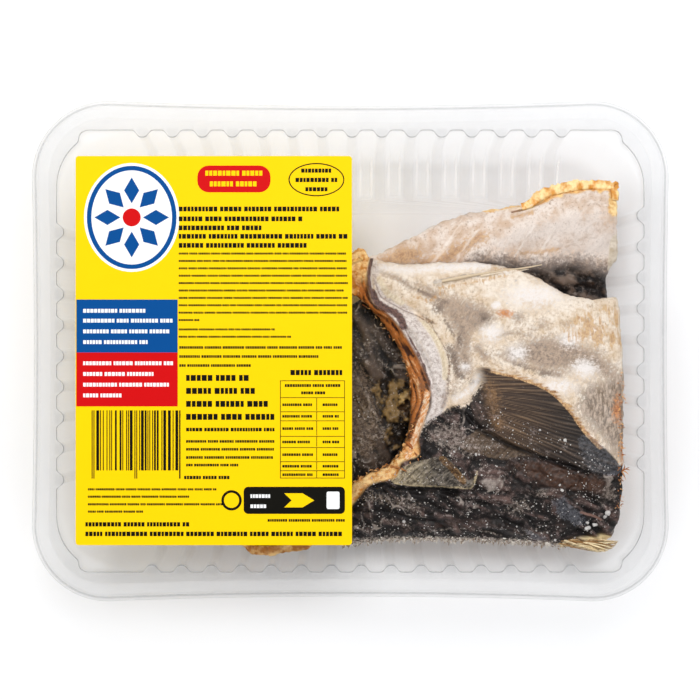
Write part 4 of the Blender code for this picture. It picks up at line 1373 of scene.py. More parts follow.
BUNDLE_OUTLINE = [(79.5, -69.4), (87.7, -67.6), (95, -66.9), (98.6, -70), (94, -76.5), (84, -76)]
BACK_CRACK = [(58.9, 50.7), (62.6, 51.4), (67.4, 53), (71.1, 54.8), (72.7, 56)]
BACK_MASKS = {
    # The first two shapes lie along the large cutlet's edge, where the brown is partly that cutlet's
    # painted shadow.
    "brown": [
        ([(10.1, 33.9), (16.3, 37.3), (22.5, 38.6), (27.2, 36.8), (25.4, 32.5), (18.1, 31),
         (12.7, 31)], 2.5),
        ([(25.4, 31.5), (34.5, 34.4), (41.7, 38.3), (47.5, 41.5)], 6, 2.6),
        ([(62, 35.6), (68.5, 36), (76, 37.2)], 2, 1.6), ([(59, 48.6), (66, 50.4)], 2, 1.2),
    ],
    "scratch": [
        ([(29.8, 31.4), (36.3, 40.4), (40.6, 46.9)], 1.8, 1),
        ([(38.2, 32.2), (42.8, 39.3), (46.4, 44)], 1.3, 0.8),
        ([(59.9, 34.7), (63.4, 40.3), (66.4, 45.2)], 1.2, 0.8),
        ([(68, 34.7), (71.4, 40.3), (74.4, 44.2)], 1, 0.8),
    ],
    "grey": [
        ([(50.8, 38.6), (61.6, 46), (76.2, 49.9), (90.7, 50.9), (96.4, 44.3), (95.3, 35), (76.3, 33.9),
         (58.1, 35)], 4),
    ],
    # Black skin where this cutlet runs under the large one, deepened from grey to black as painted shadow
    # of that cutlet.
    "dark": [
        ([(43.6, 31.6), (53.4, 33.6), (65.4, 32), (73.4, 32.4), (83.5, 33), (92.4, 30.3), (97.1, 27),
         (99.5, 16.9), (60, 0), (30, 10)], 5),
    ],
    "fringe": [
        ([(50, 52.6), (56.6, 54), (62.3, 55.4), (67.8, 58), (75, 60.2), (83, 61), (91.3, 61.6),
         (98, 61)], 4.2, 1),
        ([(96.6, 60), (96, 51)], 4, 1.6),
    ],
    "flap": [([(94.6, 40.4), (98.3, 42.3), (99.5, 36.9), (98.5, 30.3), (94.2, 29.4)], 1)],
    "crack": [(BACK_CRACK, 0.7, 0.5)],
}
LEFT_MASKS = {
    "olive": [
        ([(8, -12.5), (17.3, -9.7), (23.7, -15.2), (24.1, -25.5), (20.5, -34), (13.6, -36),
         (11.9, -25.5)], 1.6),
    ],
    "yellow": [([(18, -16), (21.6, -15.3), (22.8, -19.9), (21.7, -25.8), (18.4, -24)], 0.8)],
    # Painted highlight: a light grey streak along the top of each raised ridge.
    "ridge": [
        ([(2.6, -9.8), (6.4, -17), (10, -25), (14.4, -34)], 1.2, 0.8),
        ([(1.6, 2), (5, -3.4), (10, -6.4), (15.6, -6)], 0.8, 1.3),
    ],
    "brown": [([(0, -5), (8, -10), (12, -32), (4, -40), (-4, -30)], 4)],
    "front": [([(-44, -74), (-44, -66), (-12, -63), (-8, -74)], 1.5)],
    "white": [((-37, -72), (5, 3), 1.5)],
}


def bundle_mask(points):
    """1 on the bundle of pale fibres at the near right corner."""
    return np.clip(area(points, BUNDLE_OUTLINE, 0.7), 0, 1)


# %% [markdown]
# ## Relief
#
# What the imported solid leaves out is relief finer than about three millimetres: wrinkles and salt
# crust on the skin, rays in the fin, folds on the back and fibres in the cut. Random hills of
# several sizes make it, stretched along the fish where the real lines run, and each kind is
# weighted by the mask of the region that has it.

# %% The large cutlet from above
def ridges(points, size, seed, width):
    """Thin meandering lines of 1, where smooth random hills pass through zero."""
    return np.exp(-(random_hills(points, size, seed, 2) / width) ** 2)


def fin_rays(points):
    """A value of 1 on each fin ray and 0 between them, with rays of uneven strength."""
    x, y = points.T
    bearing = np.arctan2(y - FIN_ROOT[1], x - FIN_ROOT[0])
    reach = np.hypot(x - FIN_ROOT[0], y - FIN_ROOT[1])
    wander = 0.45 * random_hills(np.column_stack([reach / 14, bearing * 26]), 1, 41, 2)
    phase = bearing / FIN_RAY_STEP + wander
    uneven = 0.65 + 0.35 * random_hills(np.column_stack([phase, reach / 12]), 1, 42, 2)
    return np.clip((0.5 + 0.5 * np.cos(2 * math.pi * phase)) * uneven, 0, 1)


def main_surface(points):
    """The large cutlet's upper face: its height with fine relief, and its painted values."""
    x, y = points.T
    masks = {name: mask(points, shapes) for name, shapes in MAIN_MASKS.items()}
    edge = distance(points, MAIN_LOOP, True)
    height = main_skin(points) - rounded_drop(edge, MAIN_EDGE_RADIUS, MAIN_EDGE_DROP)
    folds = smoothstep(-46, -52, y) * smoothstep(-72, -68, y)
    folds *= smoothstep(-0.6, 0.5, random_hills(points, 11, 4, 2))
    bend = 3.2 * random_hills(points, 14, 3)
    slant = 0.08 * x + 0.0032 * x ** 2
    swell = folds * np.sin(2 * math.pi * (y + slant + bend) / FOLD_LENGTH)
    height += FOLD_HEIGHT * swell
    flap, dark = masks["flap"], masks["dark"]
    rays = fin_rays(points)
    spread = smoothstep(46, 51, x + 0.25 * (y + 16))
    tips = masks["fintip"] * spread
    fin = smoothstep(-0.35, 0.35, depth(points, FIN_LOOP) + tips * 1.7 * (rays - 0.65))
    height += fin * (FIN_HEIGHT * (0.25 + 0.75 * spread) + 0.5 * spread * (rays - 0.5))
    flap_wrinkle = random_hills(turned(points, 20, 5, 1.3), 1, 9, 2)
    height += flap * (FLAP_HEIGHT * smoothstep(-34, -48, y) + 0.22 * flap_wrinkle)
    deep, shade = groove_depth(points, MAIN_GROOVES)
    bare = (1 - fin) * (1 - flap)
    height -= deep * bare
    gap = flesh_gap(points)
    flesh = smoothstep(-0.2, 0.7, gap)
    along = 0.10 * (x - y)
    fibres = random_hills(np.column_stack([gap * 1.5, 1.4 * along]), 1, 12, 3)
    lumps = random_hills(points, 3.6, 15, 3)
    height -= flesh * (FLESH_STEP + FLESH_SLOPE * np.maximum(gap, 0))
    height += flesh * (0.5 * fibres + 0.6 * lumps)
    height -= 0.9 * np.exp(-((gap + 1.2) / 0.7) ** 2)
    skin = (1 - flesh) * (1 - fin)
    slow = random_hills(turned(points, -12, 2.2, 1), 6, 21, 2)
    bent = points + 2.5 * np.column_stack([random_hills(points, 9, 24, 2),
                                           random_hills(points, 9, 25, 2)])
    wrinkles = random_hills(turned(bent, -24, 1.6, 0.9), 2.3, 22, 3)
    crust = random_hills(points, 1.1, 23, 2)
    curls = ridges(bent, 4.6, 27, 0.13) * smoothstep(-0.25, 0.3, random_hills(points, 7, 28, 2))
    creases = ridges(turned(bent, -30, 2.4, 1), 4.2, 29, 0.17)
    height += skin * (0.35 * slow + (0.08 + 0.26 * dark) * wrinkles + 0.16 * dark * crust)
    height += skin * dark * (0.45 * curls - 0.7 * creases)
    end = bundle_mask(points)
    strands = random_hills(turned(points, -12, 9, 0.9), 1, 31, 2)
    height += end * (0.5 + 0.6 * strands)
    masks["rays"] = rays
    # Pale along the raised curls of the crust: salt, with a painted highlight.
    masks["curl"] = curls * skin
    # Painted shade: the bottoms of the creases, later painted nearly black.
    masks["crease"] = creases * skin
    masks["grey"] = np.maximum(masks["grey"], 0.50 * smoothstep(20, 6, y)
                               * smoothstep(28, 38, x) * smoothstep(100, 84, x))
    masks["finshow"] = fin * (0.15 + 0.85 * spread)
    # Painted shade and light with salt wear: darker where wrinkles and folds sink, lighter where they
    # rise.
    masks["wear"] = np.clip(0.5 + 0.3 * wrinkles + 0.12 * slow + 0.2 * swell, 0, 1)
    masks["flesh"] = flesh
    masks["fibre"] = np.clip(0.5 + 0.4 * fibres, 0, 1)
    masks["groove"] = shade * bare
    masks["bundle"] = end
    masks["strand"] = np.clip(0.5 + 0.4 * strands, 0, 1)
    masks["golden"] = np.clip(smoothstep(22, 29, y) * smoothstep(10, 5, x)
                              + smoothstep(-31, -37, y), 0, 1)
    return height, masks


def back_surface(points):
    """The far cutlet's upper face: cream skin with a lower ragged band of flesh at its corner."""
    x, y = points.T
    masks = {name: mask(points, shapes) for name, shapes in BACK_MASKS.items()}
    edge = distance(points, BACK_LOOP, True)
    flesh = smoothstep(40, 62, x) * smoothstep(50, 56, y)
    flesh *= smoothstep(4.2, 3.2, edge + 0.7 * random_hills(points, 2.4, 51, 2))
    drop = rounded_drop(edge, SIDE_EDGE_RADIUS, BACK_EDGE_DROP)
    height = back_crown(points) - drop - 1.6 * flesh
    height += flesh * 0.7 * random_hills(points, 2.2, 52, 3)
    wrinkles = random_hills(turned(points, -24, 2, 1), 2.4, 54, 3)
    height += (1 - flesh) * 0.35 * random_hills(turned(points, 50, 2.4, 1), 4, 53, 3)
    height += masks["dark"] * (0.7 * wrinkles - 0.8 * ridges(points, 5, 55, 0.16))
    height += 0.35 * masks["scratch"]
    crack = distance(points, spline(BACK_CRACK, LINE_STEP, False), False)
    height += 0.7 * np.exp(-((crack - 0.9) / 0.5) ** 2) - 1 * np.exp(-(crack / 0.5) ** 2)
    masks["flesh"] = flesh
    # Painted shade and light with salt wear: darker where the wrinkles sink, lighter where they rise.
    masks["wear"] = np.clip(0.5 + 0.4 * wrinkles, 0, 1)
    return height, masks


def left_surface(points):
    """The upper face of the cutlet under the label."""
    x, y = points.T
    masks = {name: mask(points, shapes) for name, shapes in LEFT_MASKS.items()}
    edge = distance(points, LEFT_LOOP, True)
    height = left_crown(points) - rounded_drop(edge, SIDE_EDGE_RADIUS, LEFT_EDGE_DROP)
    wrinkles = random_hills(turned(points, -60, 2.4, 1), 4, 61, 3)
    curls = ridges(points, 5.5, 63, 0.12) * smoothstep(-0.2, 0.3, random_hills(points, 8, 64))
    height += 0.6 * wrinkles + 0.5 * curls
    torn = masks["olive"]
    crumbs = random_hills(points, 2.1, 62, 4)
    height -= torn * (1 - 1.6 * crumbs)
    height += masks["yellow"] * (1.5 + crumbs)
    height += 0.5 * masks["ridge"]
    # Painted shade and light with salt wear: darker where the wrinkles sink, lighter where they rise.
    masks["wear"] = np.clip(0.5 + 0.35 * wrinkles, 0, 1)
    # Pale along the raised curls of the crust: salt, with a painted highlight.
    masks["curl"] = curls * (1 - torn)
    # Painted light and shade: the crumbs' tops lighter, the hollows between them nearly black.
    masks["lump"] = np.clip(0.5 + 0.5 * crumbs, 0, 1)
    return height, masks


print("ray angle:", round(math.degrees(FIN_RAY_STEP), 2), "degrees")


# %% A cutlet's mesh
def ragged(loop, amount, seed):
    """The outline eaten into by up to amount, as a saw and drying leave it."""
    ahead = np.roll(loop, -1, axis=0) - np.roll(loop, 1, axis=0)
    right = np.column_stack([ahead[:, 1], -ahead[:, 0]])
    right /= np.linalg.norm(right, axis=1, keepdims=True)
    inward = right if inside(loop[:1] + 0.2 * right[:1], loop)[0] else -right
    bite = 0.5 + 0.5 * np.clip(random_hills(loop, 1.9, seed, 3), -1, 1)
    return loop + inward * (amount * bite)[:, None]


def make_cutlet(name, node, outline, surface, bottom, step, bite, seed, shader, slot):
    """A closed slab: upper face, ragged cut side with flaky layers, and underside."""
    edge = ragged(spline(outline, step, True), bite, seed)
    count = len(edge)
    rim = list(range(count))
    upper = np.vstack([edge, hexagonal(edge, step, 0.55 * step)])
    lower = np.vstack([edge, hexagonal(edge, UNDER_STEP, UNDER_STEP / 2)])
    high, painted = surface(upper)
    high = np.maximum(high, bottom(upper) + THINNEST)
    low = bottom(lower)
    towards = edge.mean(axis=0) - edge
    towards /= np.linalg.norm(towards, axis=1, keepdims=True)
    run = np.arange(count) * step
    rows = []
    for share in np.linspace(0, 1, SIDE_ROWS + 2)[1:-1]:
        z = high[:count] * (1 - share) + low[:count] * share
        flakes = random_hills(np.column_stack([run / 13, z / 3.6]), 1, seed + 5, 3)
        inset = 0.2 + 0.5 * math.sin(math.pi * share) + 0.4 * flakes
        rows.append(np.column_stack([edge + towards * np.maximum(inset, 0)[:, None], z]))
    parts = [np.column_stack([upper, high]), *rows, np.column_stack([lower, low])]
    starts = np.concatenate([[0], np.cumsum([len(p) for p in parts])])
    faces = [*triangulate(upper, [rim]), *(triangulate(lower, [rim])[:, ::-1] + starts[-2])]
    rings = [start + np.arange(count) for start in starts[:-1]]
    for a, b in zip(rings[:-1], rings[1:]):
        after_a, after_b = np.roll(a, -1), np.roll(b, -1)
        faces.extend(zip(a, b, after_b))
        faces.extend(zip(a, after_b, after_a))
    rest = starts[-1] - len(upper)
    painted = {key: np.concatenate([v, np.zeros(rest)]) for key, v in painted.items()}
    painted["cut"] = np.concatenate([np.zeros(len(upper)), np.ones(rest)])
    cutlet = add_piece(name, np.vstack(parts), faces, shader, slot, painted, smooth_angle=180)
    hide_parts(node)


print("rows down a cut side:", SIDE_ROWS)


# %% [markdown]
# ## Fish skin and flesh
#
# Salt, oil and light colour the skin in layers, one over the other: cream below, then grey clouds,
# brown stains, and white bloom on top. Each layer in the material is the same: a painted mask with
# its edge frayed by noise, and a tone between two colours chosen by finer noise. Painting all this
# by hand on a texture would fix its resolution; noise keeps its grain at any distance.

# %% A material made of layers
CUT_DARK, CUT_MIDDLE, CUT_LIGHT = "704B2B", "BA8A57", "E8CDA2"
SALT = "F2EEE9"
# Every noise is centred here, so this is taken off where noise only moves an edge.
NOISE_MIDDLE = 0.5


class FishSkin(Shader):
    """A material for a cutlet: noises of several sizes, and coats painted over a base."""

    def __init__(self, name, lie):
        super().__init__(name)
        self.place = self.millimetres()
        self.cloud = self.noise(self.place, 7, 4, 0.62)
        self.patch = self.noise(self.place, 2.6, 5, 0.68)
        self.wisp = self.warped(self.place, 3.6, 6, 0.68, 0.9)
        self.grain = self.noise(self.place, 0.75, 3, 0.65)
        self.powder = self.noise(self.place, 1.2, 5, 0.8)
        self.hair = self.brushed(lie, 0.8, 0.3)
        self.stipple = 0.72 * self.powder + 0.28 * self.hair
        self.base = None

    def warped(self, place, size, detail, roughness, warp):
        return self.node("ShaderNodeTexNoise", None, {"Vector": place, "Scale": 1 / size,
                         "Detail": detail, "Roughness": roughness, "Distortion": warp})

    def brushed(self, degrees, size, share):
        """Noise drawn out along one direction, like fine scratches."""
        facing = self.node("ShaderNodeVectorRotate", {"rotation_type": "Z_AXIS"},
                           {"Vector": self.place, "Angle": math.radians(-degrees)})
        return self.warped(self.stretched(facing, (share, 1, 1)), size, 3, 0.7, 0.35)

    def uneven(self, value, noise, amount):
        """A value moved up and down by a noise."""
        return value + amount * (noise - NOISE_MIDDLE)

    def tone(self, dark, light, pick, low=0.3, high=0.7):
        return self.blend(self.rise(pick, low, high), colour(dark), colour(light))

    def layer(self, amount, tone):
        self.base = self.blend(amount, self.base, tone)

    def frayed(self, painted, fray, strength, noise, low=0.38, high=0.62):
        """A painted mask whose soft edge is broken up by noise."""
        return self.rise(self.painted(painted) + (noise - NOISE_MIDDLE) * fray, low, high) * strength

    def coated(self, base, where, fray, strength, noise, low, high, dark, light=None, pick=None,
               dark_below=0.3, light_above=0.7):
        """A base under one coat: a frayed mask filled with one colour or a tone between two."""
        amount = self.frayed(where, fray, strength, getattr(self, noise), low, high)
        if light is None:
            return self.blend(amount, base, colour(dark))
        return self.blend(amount, base, self.tone(dark, light, getattr(self, pick), dark_below,
                                                  light_above))

    def coats(self, rows):
        for row in rows:
            self.base = self.coated(self.base, *row)

    def specks(self, size, spread, seed):
        """Small ragged spots: the middles of random cells."""
        place = self.node("ShaderNodeVectorMath", {"operation": "ADD"},
                          {0: self.place, 1: (seed, 3.7 * seed, 0)})
        near = self.cells(place, size) + 0.25 * (self.grain - NOISE_MIDDLE)
        return self.rise(near, spread, 0.4 * spread)

    def cut_flesh(self):
        """The tone of a cut or torn side: amber fibres in flaky layers."""
        flat = self.stretched(self.place, (0.16, 0.16, 1))
        layers = self.noise(flat, 0.9, 3, 0.6)
        tone = self.tone(CUT_DARK, CUT_MIDDLE, layers, 0.35, 0.6)
        return self.blend(self.rise(self.patch, 0.55, 0.72), tone, colour(CUT_LIGHT))

    def finish_skin(self, roughness, relief, extra=None):
        self.layer(self.painted("cut"), self.cut_flesh())
        height = 0.5 * self.patch + 0.35 * self.grain + 0.15 * self.hair
        if extra is not None:
            height = height + extra
        self.set(Base_Color=self.base, Roughness=roughness, Normal=self.bump(height, relief))
        self.set(Specular_IOR_Level=0.35)


print("coat columns:", FishSkin.coated.__code__.co_varnames[2:FishSkin.coated.__code__.co_argcount])

# %% [markdown]
# The large cutlet shows most kinds of skin at once: white belly, mottled flank, the lilac band at
# the collar, the fin with its dark rays, and the black back under a crust of salt. Its coats stand
# in a table, lowest first. A row says where the coat lies, how far its edge is frayed, its strength,
# the noise that frays it and between which values, then its dark and its light colour, the noise
# that chooses between them, and between which values.

# %% The large cutlet's material
BELLY_COATS = [
    ("grey", 3, 0.9, "mottle", 0.34, 1, "5A4537", "B39C88", "powder", 0.34, 0.62),
    ("smudge", 2.6, 0.85, "stipple", 0.40, 0.85, "4A3D35", "8E7C6E", "powder", 0.36, 0.62),
    ("brindle", 2.4, 0.85, "brindle", 0.36, 0.86, "4D3C30", "C3B0A0", "brindle", 0.40, 0.62),
    ("pale", 2, 0.9, "powder", 0.36, 1, "ECE6E3"),
    ("lilac", 1.6, 0.85, "powder", 0.36, 0.8, "93807A", "E2DAD6", "powder", 0.34, 0.60),
    ("cream", 0.9, 0.85, "patch", 0.38, 0.62, "C3AF8E", "E6DAC4", "hair"),
    ("plum", 1, 0.95, "patch", 0.38, 0.62, "33201F", "75554F", "grain"),
    ("raystripe", 1.2, 0.8, "scratches", 0.38, 0.62, "9A8E84", "D2C8BE", "hair"),
    ("ochre", 2.4, 0.75, "streaks", 0.42, 0.9, "A06C33", "D8B482", "powder", 0.36, 0.64),
    ("orange", 1.5, 0.9, "powder", 0.38, 0.9, "A2581F", "D6935C", "powder", 0.36, 0.64),
]
BACK_COATS = [
    ("rust", 1.6, 0.7, "powder", 0.38, 0.9, "2A1812", "7A4E30", "hair"),
    ("gloss", 2, 0.6, "wisp", 0.38, 0.62, "120A08", "3A2820", "wisp", 0.4, 0.6),
    ("web", 0.8, 0.8, "patch", 0.38, 0.62, "35291F", "6E5A47", "scratches"),
    # Lighter grey patches: a salt film together with painted sheen.
    ("sheen", 3.2, 0.62, "powder", 0.50, 1.1, "463A33", "A3958A", "powder", 0.38, 0.64),
    ("slate", 2.8, 0.75, "powder", 0.38, 0.62, "26252A", "6C6D74", "powder", 0.36, 0.64),
    ("pink", 0.8, 0.8, "patch", 0.38, 0.62, "86665A"),
]
FIN_COATS = [
    ("finroot", 1.6, 0.6, "powder", 0.36, 0.9, "573B24", "9A744A", "powder", 0.34, 0.66),
    ("fintip", 0.8, 0.95, "powder", 0.38, 0.62, "8A5A30", "DDB888", "powder", 0.36, 0.64),
    ("slate", 2.6, 0.42, "powder", 0.38, 0.62, "222226", "74767C", "powder", 0.36, 0.64),
]
FLAP_COATS = [
    ("tan", 0.8, 0.9, "patch", 0.38, 0.62, "3A2414", "9C7748", "powder", 0.4, 0.7),
    ("flapedge", 2.6, 0.75, "powder", 0.4, 0.9, "D8C39C"),
]
SALTED_EDGE = ("fray", 2.2, 0.85, "powder", 0.42, 0.9, "6E5A48", "D4C8BC", "powder", 0.38, 0.62)


def mottled_skin():
    skin = FishSkin("mottled_skin", 55)
    skin.streaks = skin.brushed(92, 1.1, 0.3)
    skin.scratches = skin.brushed(40, 0.9, 0.22)
    skin.mottle = 0.75 * skin.stipple + 0.25 * skin.cloud
    skin.brindle = 0.6 * skin.streaks + 0.4 * skin.powder
    # Cream skin, thin where it is tan, with hair-fine brown flecks.
    skin.base = skin.tone("D2BB9F", "E9DCCC", skin.cloud, 0.34, 0.62)
    skin.layer(skin.rise(skin.powder, 0.47, 0.66) * 0.5, colour("BFA27E"))
    skin.layer(skin.rise(skin.stipple, 0.54, 0.64) * 0.4, colour("8E7760"))
    cloudy = skin.rise(0.5 * skin.wisp + 0.5 * skin.powder, 0.48, 0.68)
    skin.layer(cloudy * 0.38, colour("957F6B"))
    bloom = skin.rise(0.6 * skin.wisp + 0.4 * skin.powder, 0.53, 0.34)
    skin.layer(bloom * 0.45, colour("F1ECE8"))
    skin.coats(BELLY_COATS)
    # The back: black in the folds and grey on the ridges, painted shade and light that follow the
    # relief, with salt wear; pale along the crests of the crust, salt with a painted highlight.
    wear = skin.uneven(skin.painted("wear"), skin.powder, 0.6)
    black = skin.tone("0D0605", "66504A", wear, 0.42, 0.98)
    curl = skin.rise(skin.uneven(skin.painted("curl"), skin.powder, 1.1), 0.4, 1.1)
    black = skin.blend(curl, black, colour("978C84"))
    # Painted shade: nearly black along the bottoms of the creases.
    black = skin.blend(skin.painted("crease") * 0.8, black, colour("060302"))
    skin.layer(skin.frayed("dark", 2.2, 1, skin.stipple, 0.38, 0.70), black)
    skin.coats(BACK_COATS)
    # Fin: brown at its root, slate at its tip, dark between the rays.
    across = skin.node("ShaderNodeSeparateXYZ", None, {0: skin.place})
    tip = skin.rise(across + 10 * (skin.patch - NOISE_MIDDLE), 50, 86)
    membrane = skin.blend(tip, colour("33231A"), colour("120C0A"))
    ray_tone = skin.blend(tip, colour("8A6E52"), colour("544840"))
    fin_tone = skin.blend((skin.painted("rays") ** 1.5) * (0.5 + skin.powder), membrane, ray_tone)
    for coat in FIN_COATS:
        fin_tone = skin.coated(fin_tone, *coat)
    skin.layer(skin.painted("finshow"), fin_tone)
    # The loose flap of membrane: grey-green, a brown stripe, a frayed cream edge.
    west = skin.rise(across + 12 * (skin.powder - NOISE_MIDDLE), 16, 32)
    folded = 0.45 * skin.wisp + 0.55 * skin.scratches
    flap_tone = skin.blend(west, skin.tone("5C503E", "CDBD9C", folded, 0.38, 0.64),
                           skin.tone("241E19", "82786A", folded, 0.40, 0.66))
    for coat in FLAP_COATS:
        flap_tone = skin.coated(flap_tone, *coat)
    skin.layer(skin.frayed("flap", 1, 0.95, skin.powder, 0.35, 0.75), flap_tone)
    # Painted shadow: nearly black along the grooves under the fin, under the flap and in the back's
    # folds.
    skin.layer(skin.painted("groove") * 0.9, colour("0C0706"))
    skin.coats([SALTED_EDGE])
    # Torn flesh along the collar, streaked along the cut.
    fibre = skin.uneven(skin.painted("fibre"), skin.grain, 0.5)
    flesh = skin.tone("3A1B0A", "B56C30", fibre, 0.16, 0.56)
    flesh = skin.blend(skin.rise(fibre, 0.66, 0.96), flesh, colour("E9C394"))
    flesh = skin.blend(skin.rise(skin.cloud, 0.52, 0.66) * 0.5, flesh, colour("5A4638"))
    golden = skin.tone("CC822F", "FFDDA2", skin.patch, 0.36, 0.62)
    skin.layer(skin.painted("flesh"), skin.blend(skin.painted("golden"), flesh, golden))
    skin.layer(skin.frayed("tendon", 1.4, 0.9, skin.powder, 0.36, 0.7),
               skin.tone("D98F4E", "F3DDC0", skin.hair, 0.4, 0.6))
    strand = skin.uneven(skin.painted("strand"), skin.grain, 0.5)
    skin.layer(skin.painted("bundle"), skin.tone("6B4A28", "E2CC9C", strand))
    # Salt: a dust on the back's ridges, and hard white specks.
    dark = skin.painted("dark") * (1 - 0.7 * skin.painted("gloss"))
    dust = skin.rise(skin.uneven(skin.powder, skin.wisp, 0.7), 0.52, 0.70) * dark
    skin.layer(dust * 0.5 * skin.rise(wear, 0.4, 0.8), colour("B0A29D"))
    chosen = skin.rise(skin.cloud, 0.48, 0.58) * (0.10 + 0.75 * skin.painted("dark"))
    specks = skin.specks(1.2, 0.22, 0)
    skin.layer(specks * chosen, colour("DAD3CC"))
    skin.finish_skin(0.58 - 0.25 * skin.painted("gloss") + 0.12 * skin.grain, 0.35,
                     0.6 * specks * chosen)
    return skin


print("coats on the large cutlet:", len(BELLY_COATS) + len(BACK_COATS) + len(FIN_COATS))

# %% The other two cutlets' materials
PALE_COATS = [
    ("grey", 2.8, 0.6, "stipple", 0.40, 1, "9A8A80", "DED3CC", "powder", 0.34, 0.6),
    ("brown", 2.6, 0.85, "stipple", 0.38, 0.95, "93633C", "D6B086", "powder", 0.34, 0.62),
    ("scratch", 2.2, 0.45, "scratches", 0.4, 0.95, "F4ECE4"),
]
TORN_COATS = [
    ("flap", 0.8, 0.9, "patch", 0.38, 0.62, "BBA88E", "EADFCE", "patch"),
    ("crack", 0.8, 0.9, "patch", 0.38, 0.62, "6B4022"),
    ("fringe", 1.6, 0.9, "powder", 0.38, 0.62, "D08E3C", "FFE0A0", "patch", 0.3, 0.62),
]
DARK_COATS = [
    ("brown", 2.4, 0.7, "stipple", 0.42, 0.95, "33271F", "84705C", "powder", 0.36, 0.64),
    # The next two coats take their tone from the crumbs' height: painted light on top, painted shade
    # between.
    ("olive", 1.6, 0.95, "stipple", 0.38, 0.62, "1A1006", "8C7044", "lump", 0.34, 0.95),
    ("yellow", 2, 0.65, "patch", 0.38, 0.62, "4A3116", "D0AE72", "lump", 0.3, 0.9),
    # Painted highlight along the raised ridges.
    ("ridge", 2, 0.5, "powder", 0.4, 1, "9A8D7F"),
    ("front", 0.9, 0.95, "patch", 0.38, 0.62, "A8682C", "E6B566", "patch"),
    ("white", 0.9, 0.9, "patch", 0.38, 0.62, "CFC4B4"),
]


def pale_skin():
    skin = FishSkin("pale_skin", 50)
    skin.scratches = skin.brushed(52, 0.9, 0.18)
    skin.base = skin.tone("CDB29B", "E6D9CF", skin.cloud, 0.34, 0.62)
    skin.layer(skin.rise(skin.powder, 0.48, 0.66) * 0.5, colour("C0A084"))
    skin.layer(skin.rise(skin.stipple, 0.54, 0.63) * 0.5, colour("96785E"))
    skin.layer(skin.rise(skin.specks(1.4, 0.2, 4), 0.4, 0.8) * 0.6, colour("7E563A"))
    skin.coats(PALE_COATS)
    # Its dark flank, where it runs under the large cutlet: grey at first, then black deeper under it,
    # partly painted shadow of that cutlet; in the black, painted shade and light follow the relief.
    wear = skin.uneven(skin.painted("wear"), skin.powder, 0.6)
    black = skin.tone("0E0706", "75655A", wear, 0.40, 0.95)
    depth_in = skin.rise(skin.uneven(skin.painted("dark"), skin.stipple, 0.5), 0.45, 0.95)
    skin.layer(skin.frayed("dark", 1.6, 1, skin.powder, 0.05, 0.75),
               skin.blend(depth_in, skin.tone("564A44", "8C7E76", skin.powder), black))
    dust = skin.rise(skin.uneven(skin.powder, skin.wisp, 0.7), 0.54, 0.72)
    skin.layer(dust * skin.painted("dark") * 0.45, colour("8F8680"))
    ember = skin.rise(skin.patch, 0.54, 0.68) * skin.painted("dark")
    skin.layer(ember * 0.3, colour("63442B"))
    skin.coats(TORN_COATS)
    skin.layer(skin.painted("flesh"), skin.tone("D08E3C", "FFE0A0", skin.patch, 0.3, 0.62))
    skin.finish_skin(0.6 + 0.12 * skin.grain, 0.3)
    return skin


def dark_skin():
    skin = FishSkin("dark_skin", 62)
    # Painted shade and light with salt wear: black in the relief's hollows, grey on its highs.
    wear = skin.uneven(skin.painted("wear"), skin.powder, 0.6)
    # Crumb height with noise, for the painted light and shade of the crumbs.
    skin.lump = skin.uneven(skin.painted("lump"), skin.powder, 0.4)
    skin.base = skin.tone("090503", "57493F", wear, 0.42, 0.95)
    # Pale along the raised curls: salt, with a painted highlight.
    curl = skin.rise(skin.uneven(skin.painted("curl"), skin.powder, 0.9), 0.4, 1)
    skin.layer(curl * 0.85, colour("A0968D"))
    skin.coats(DARK_COATS)
    dust = skin.rise(skin.uneven(skin.powder, skin.wisp, 0.8), 0.54, 0.72)
    skin.layer(dust * 0.6 * skin.rise(wear, 0.3, 0.7), colour("A39B94"))
    specks = skin.specks(1.6, 0.2, 5)
    skin.layer(specks * skin.rise(skin.cloud, 0.5, 0.6) * 0.8, colour(SALT))
    skin.finish_skin(0.55 + 0.12 * skin.grain, 0.35)
    return skin


def back_bottom(points):
    return underside(points, BACK_UNDER_LIFT, BACK_LOOP)


def left_bottom(points):
    return underside(points, LEFT_UNDER_LIFT, LEFT_LOOP)


def main_bottom(points):
    return underside(points, MAIN_UNDER_LIFT, MAIN_LOOP,
                     [(BACK_LOOP, back_crown), (LEFT_LOOP, left_crown)])


CUTLETS = [
    # piece, node, outline, upper face, underside, mesh step, raggedness, seed, material, slot
    ("fish_back", "cutlet_back", BACK_OUTLINE, back_surface, back_bottom, 0.55, 1, 71,
     pale_skin, "pale_fish"),
    ("fish_left", "cutlet_left", LEFT_OUTLINE, left_surface, left_bottom, 0.65, 1, 72,
     dark_skin, "dark_fish"),
    ("fish_main", "cutlet_main", MAIN_OUTLINE, main_surface, main_bottom, 0.5, 0.8, 73,
     mottled_skin, "mottled_fish"),
]
for *settings, make_skin, slot in CUTLETS:
    make_cutlet(*settings, make_skin(), slot)

# %% [markdown]
# ## Torn fibres
#
# Where a cutlet was sawn or torn, single fibres stand off its edge. A hair system would be quicker
# to set up, but these are few and each has its place, so every fibre is a five-sided tube that
# tapers along its own short path. All of them start a little inside the fish.

# %% Fibres as tubes
SIDES = 5


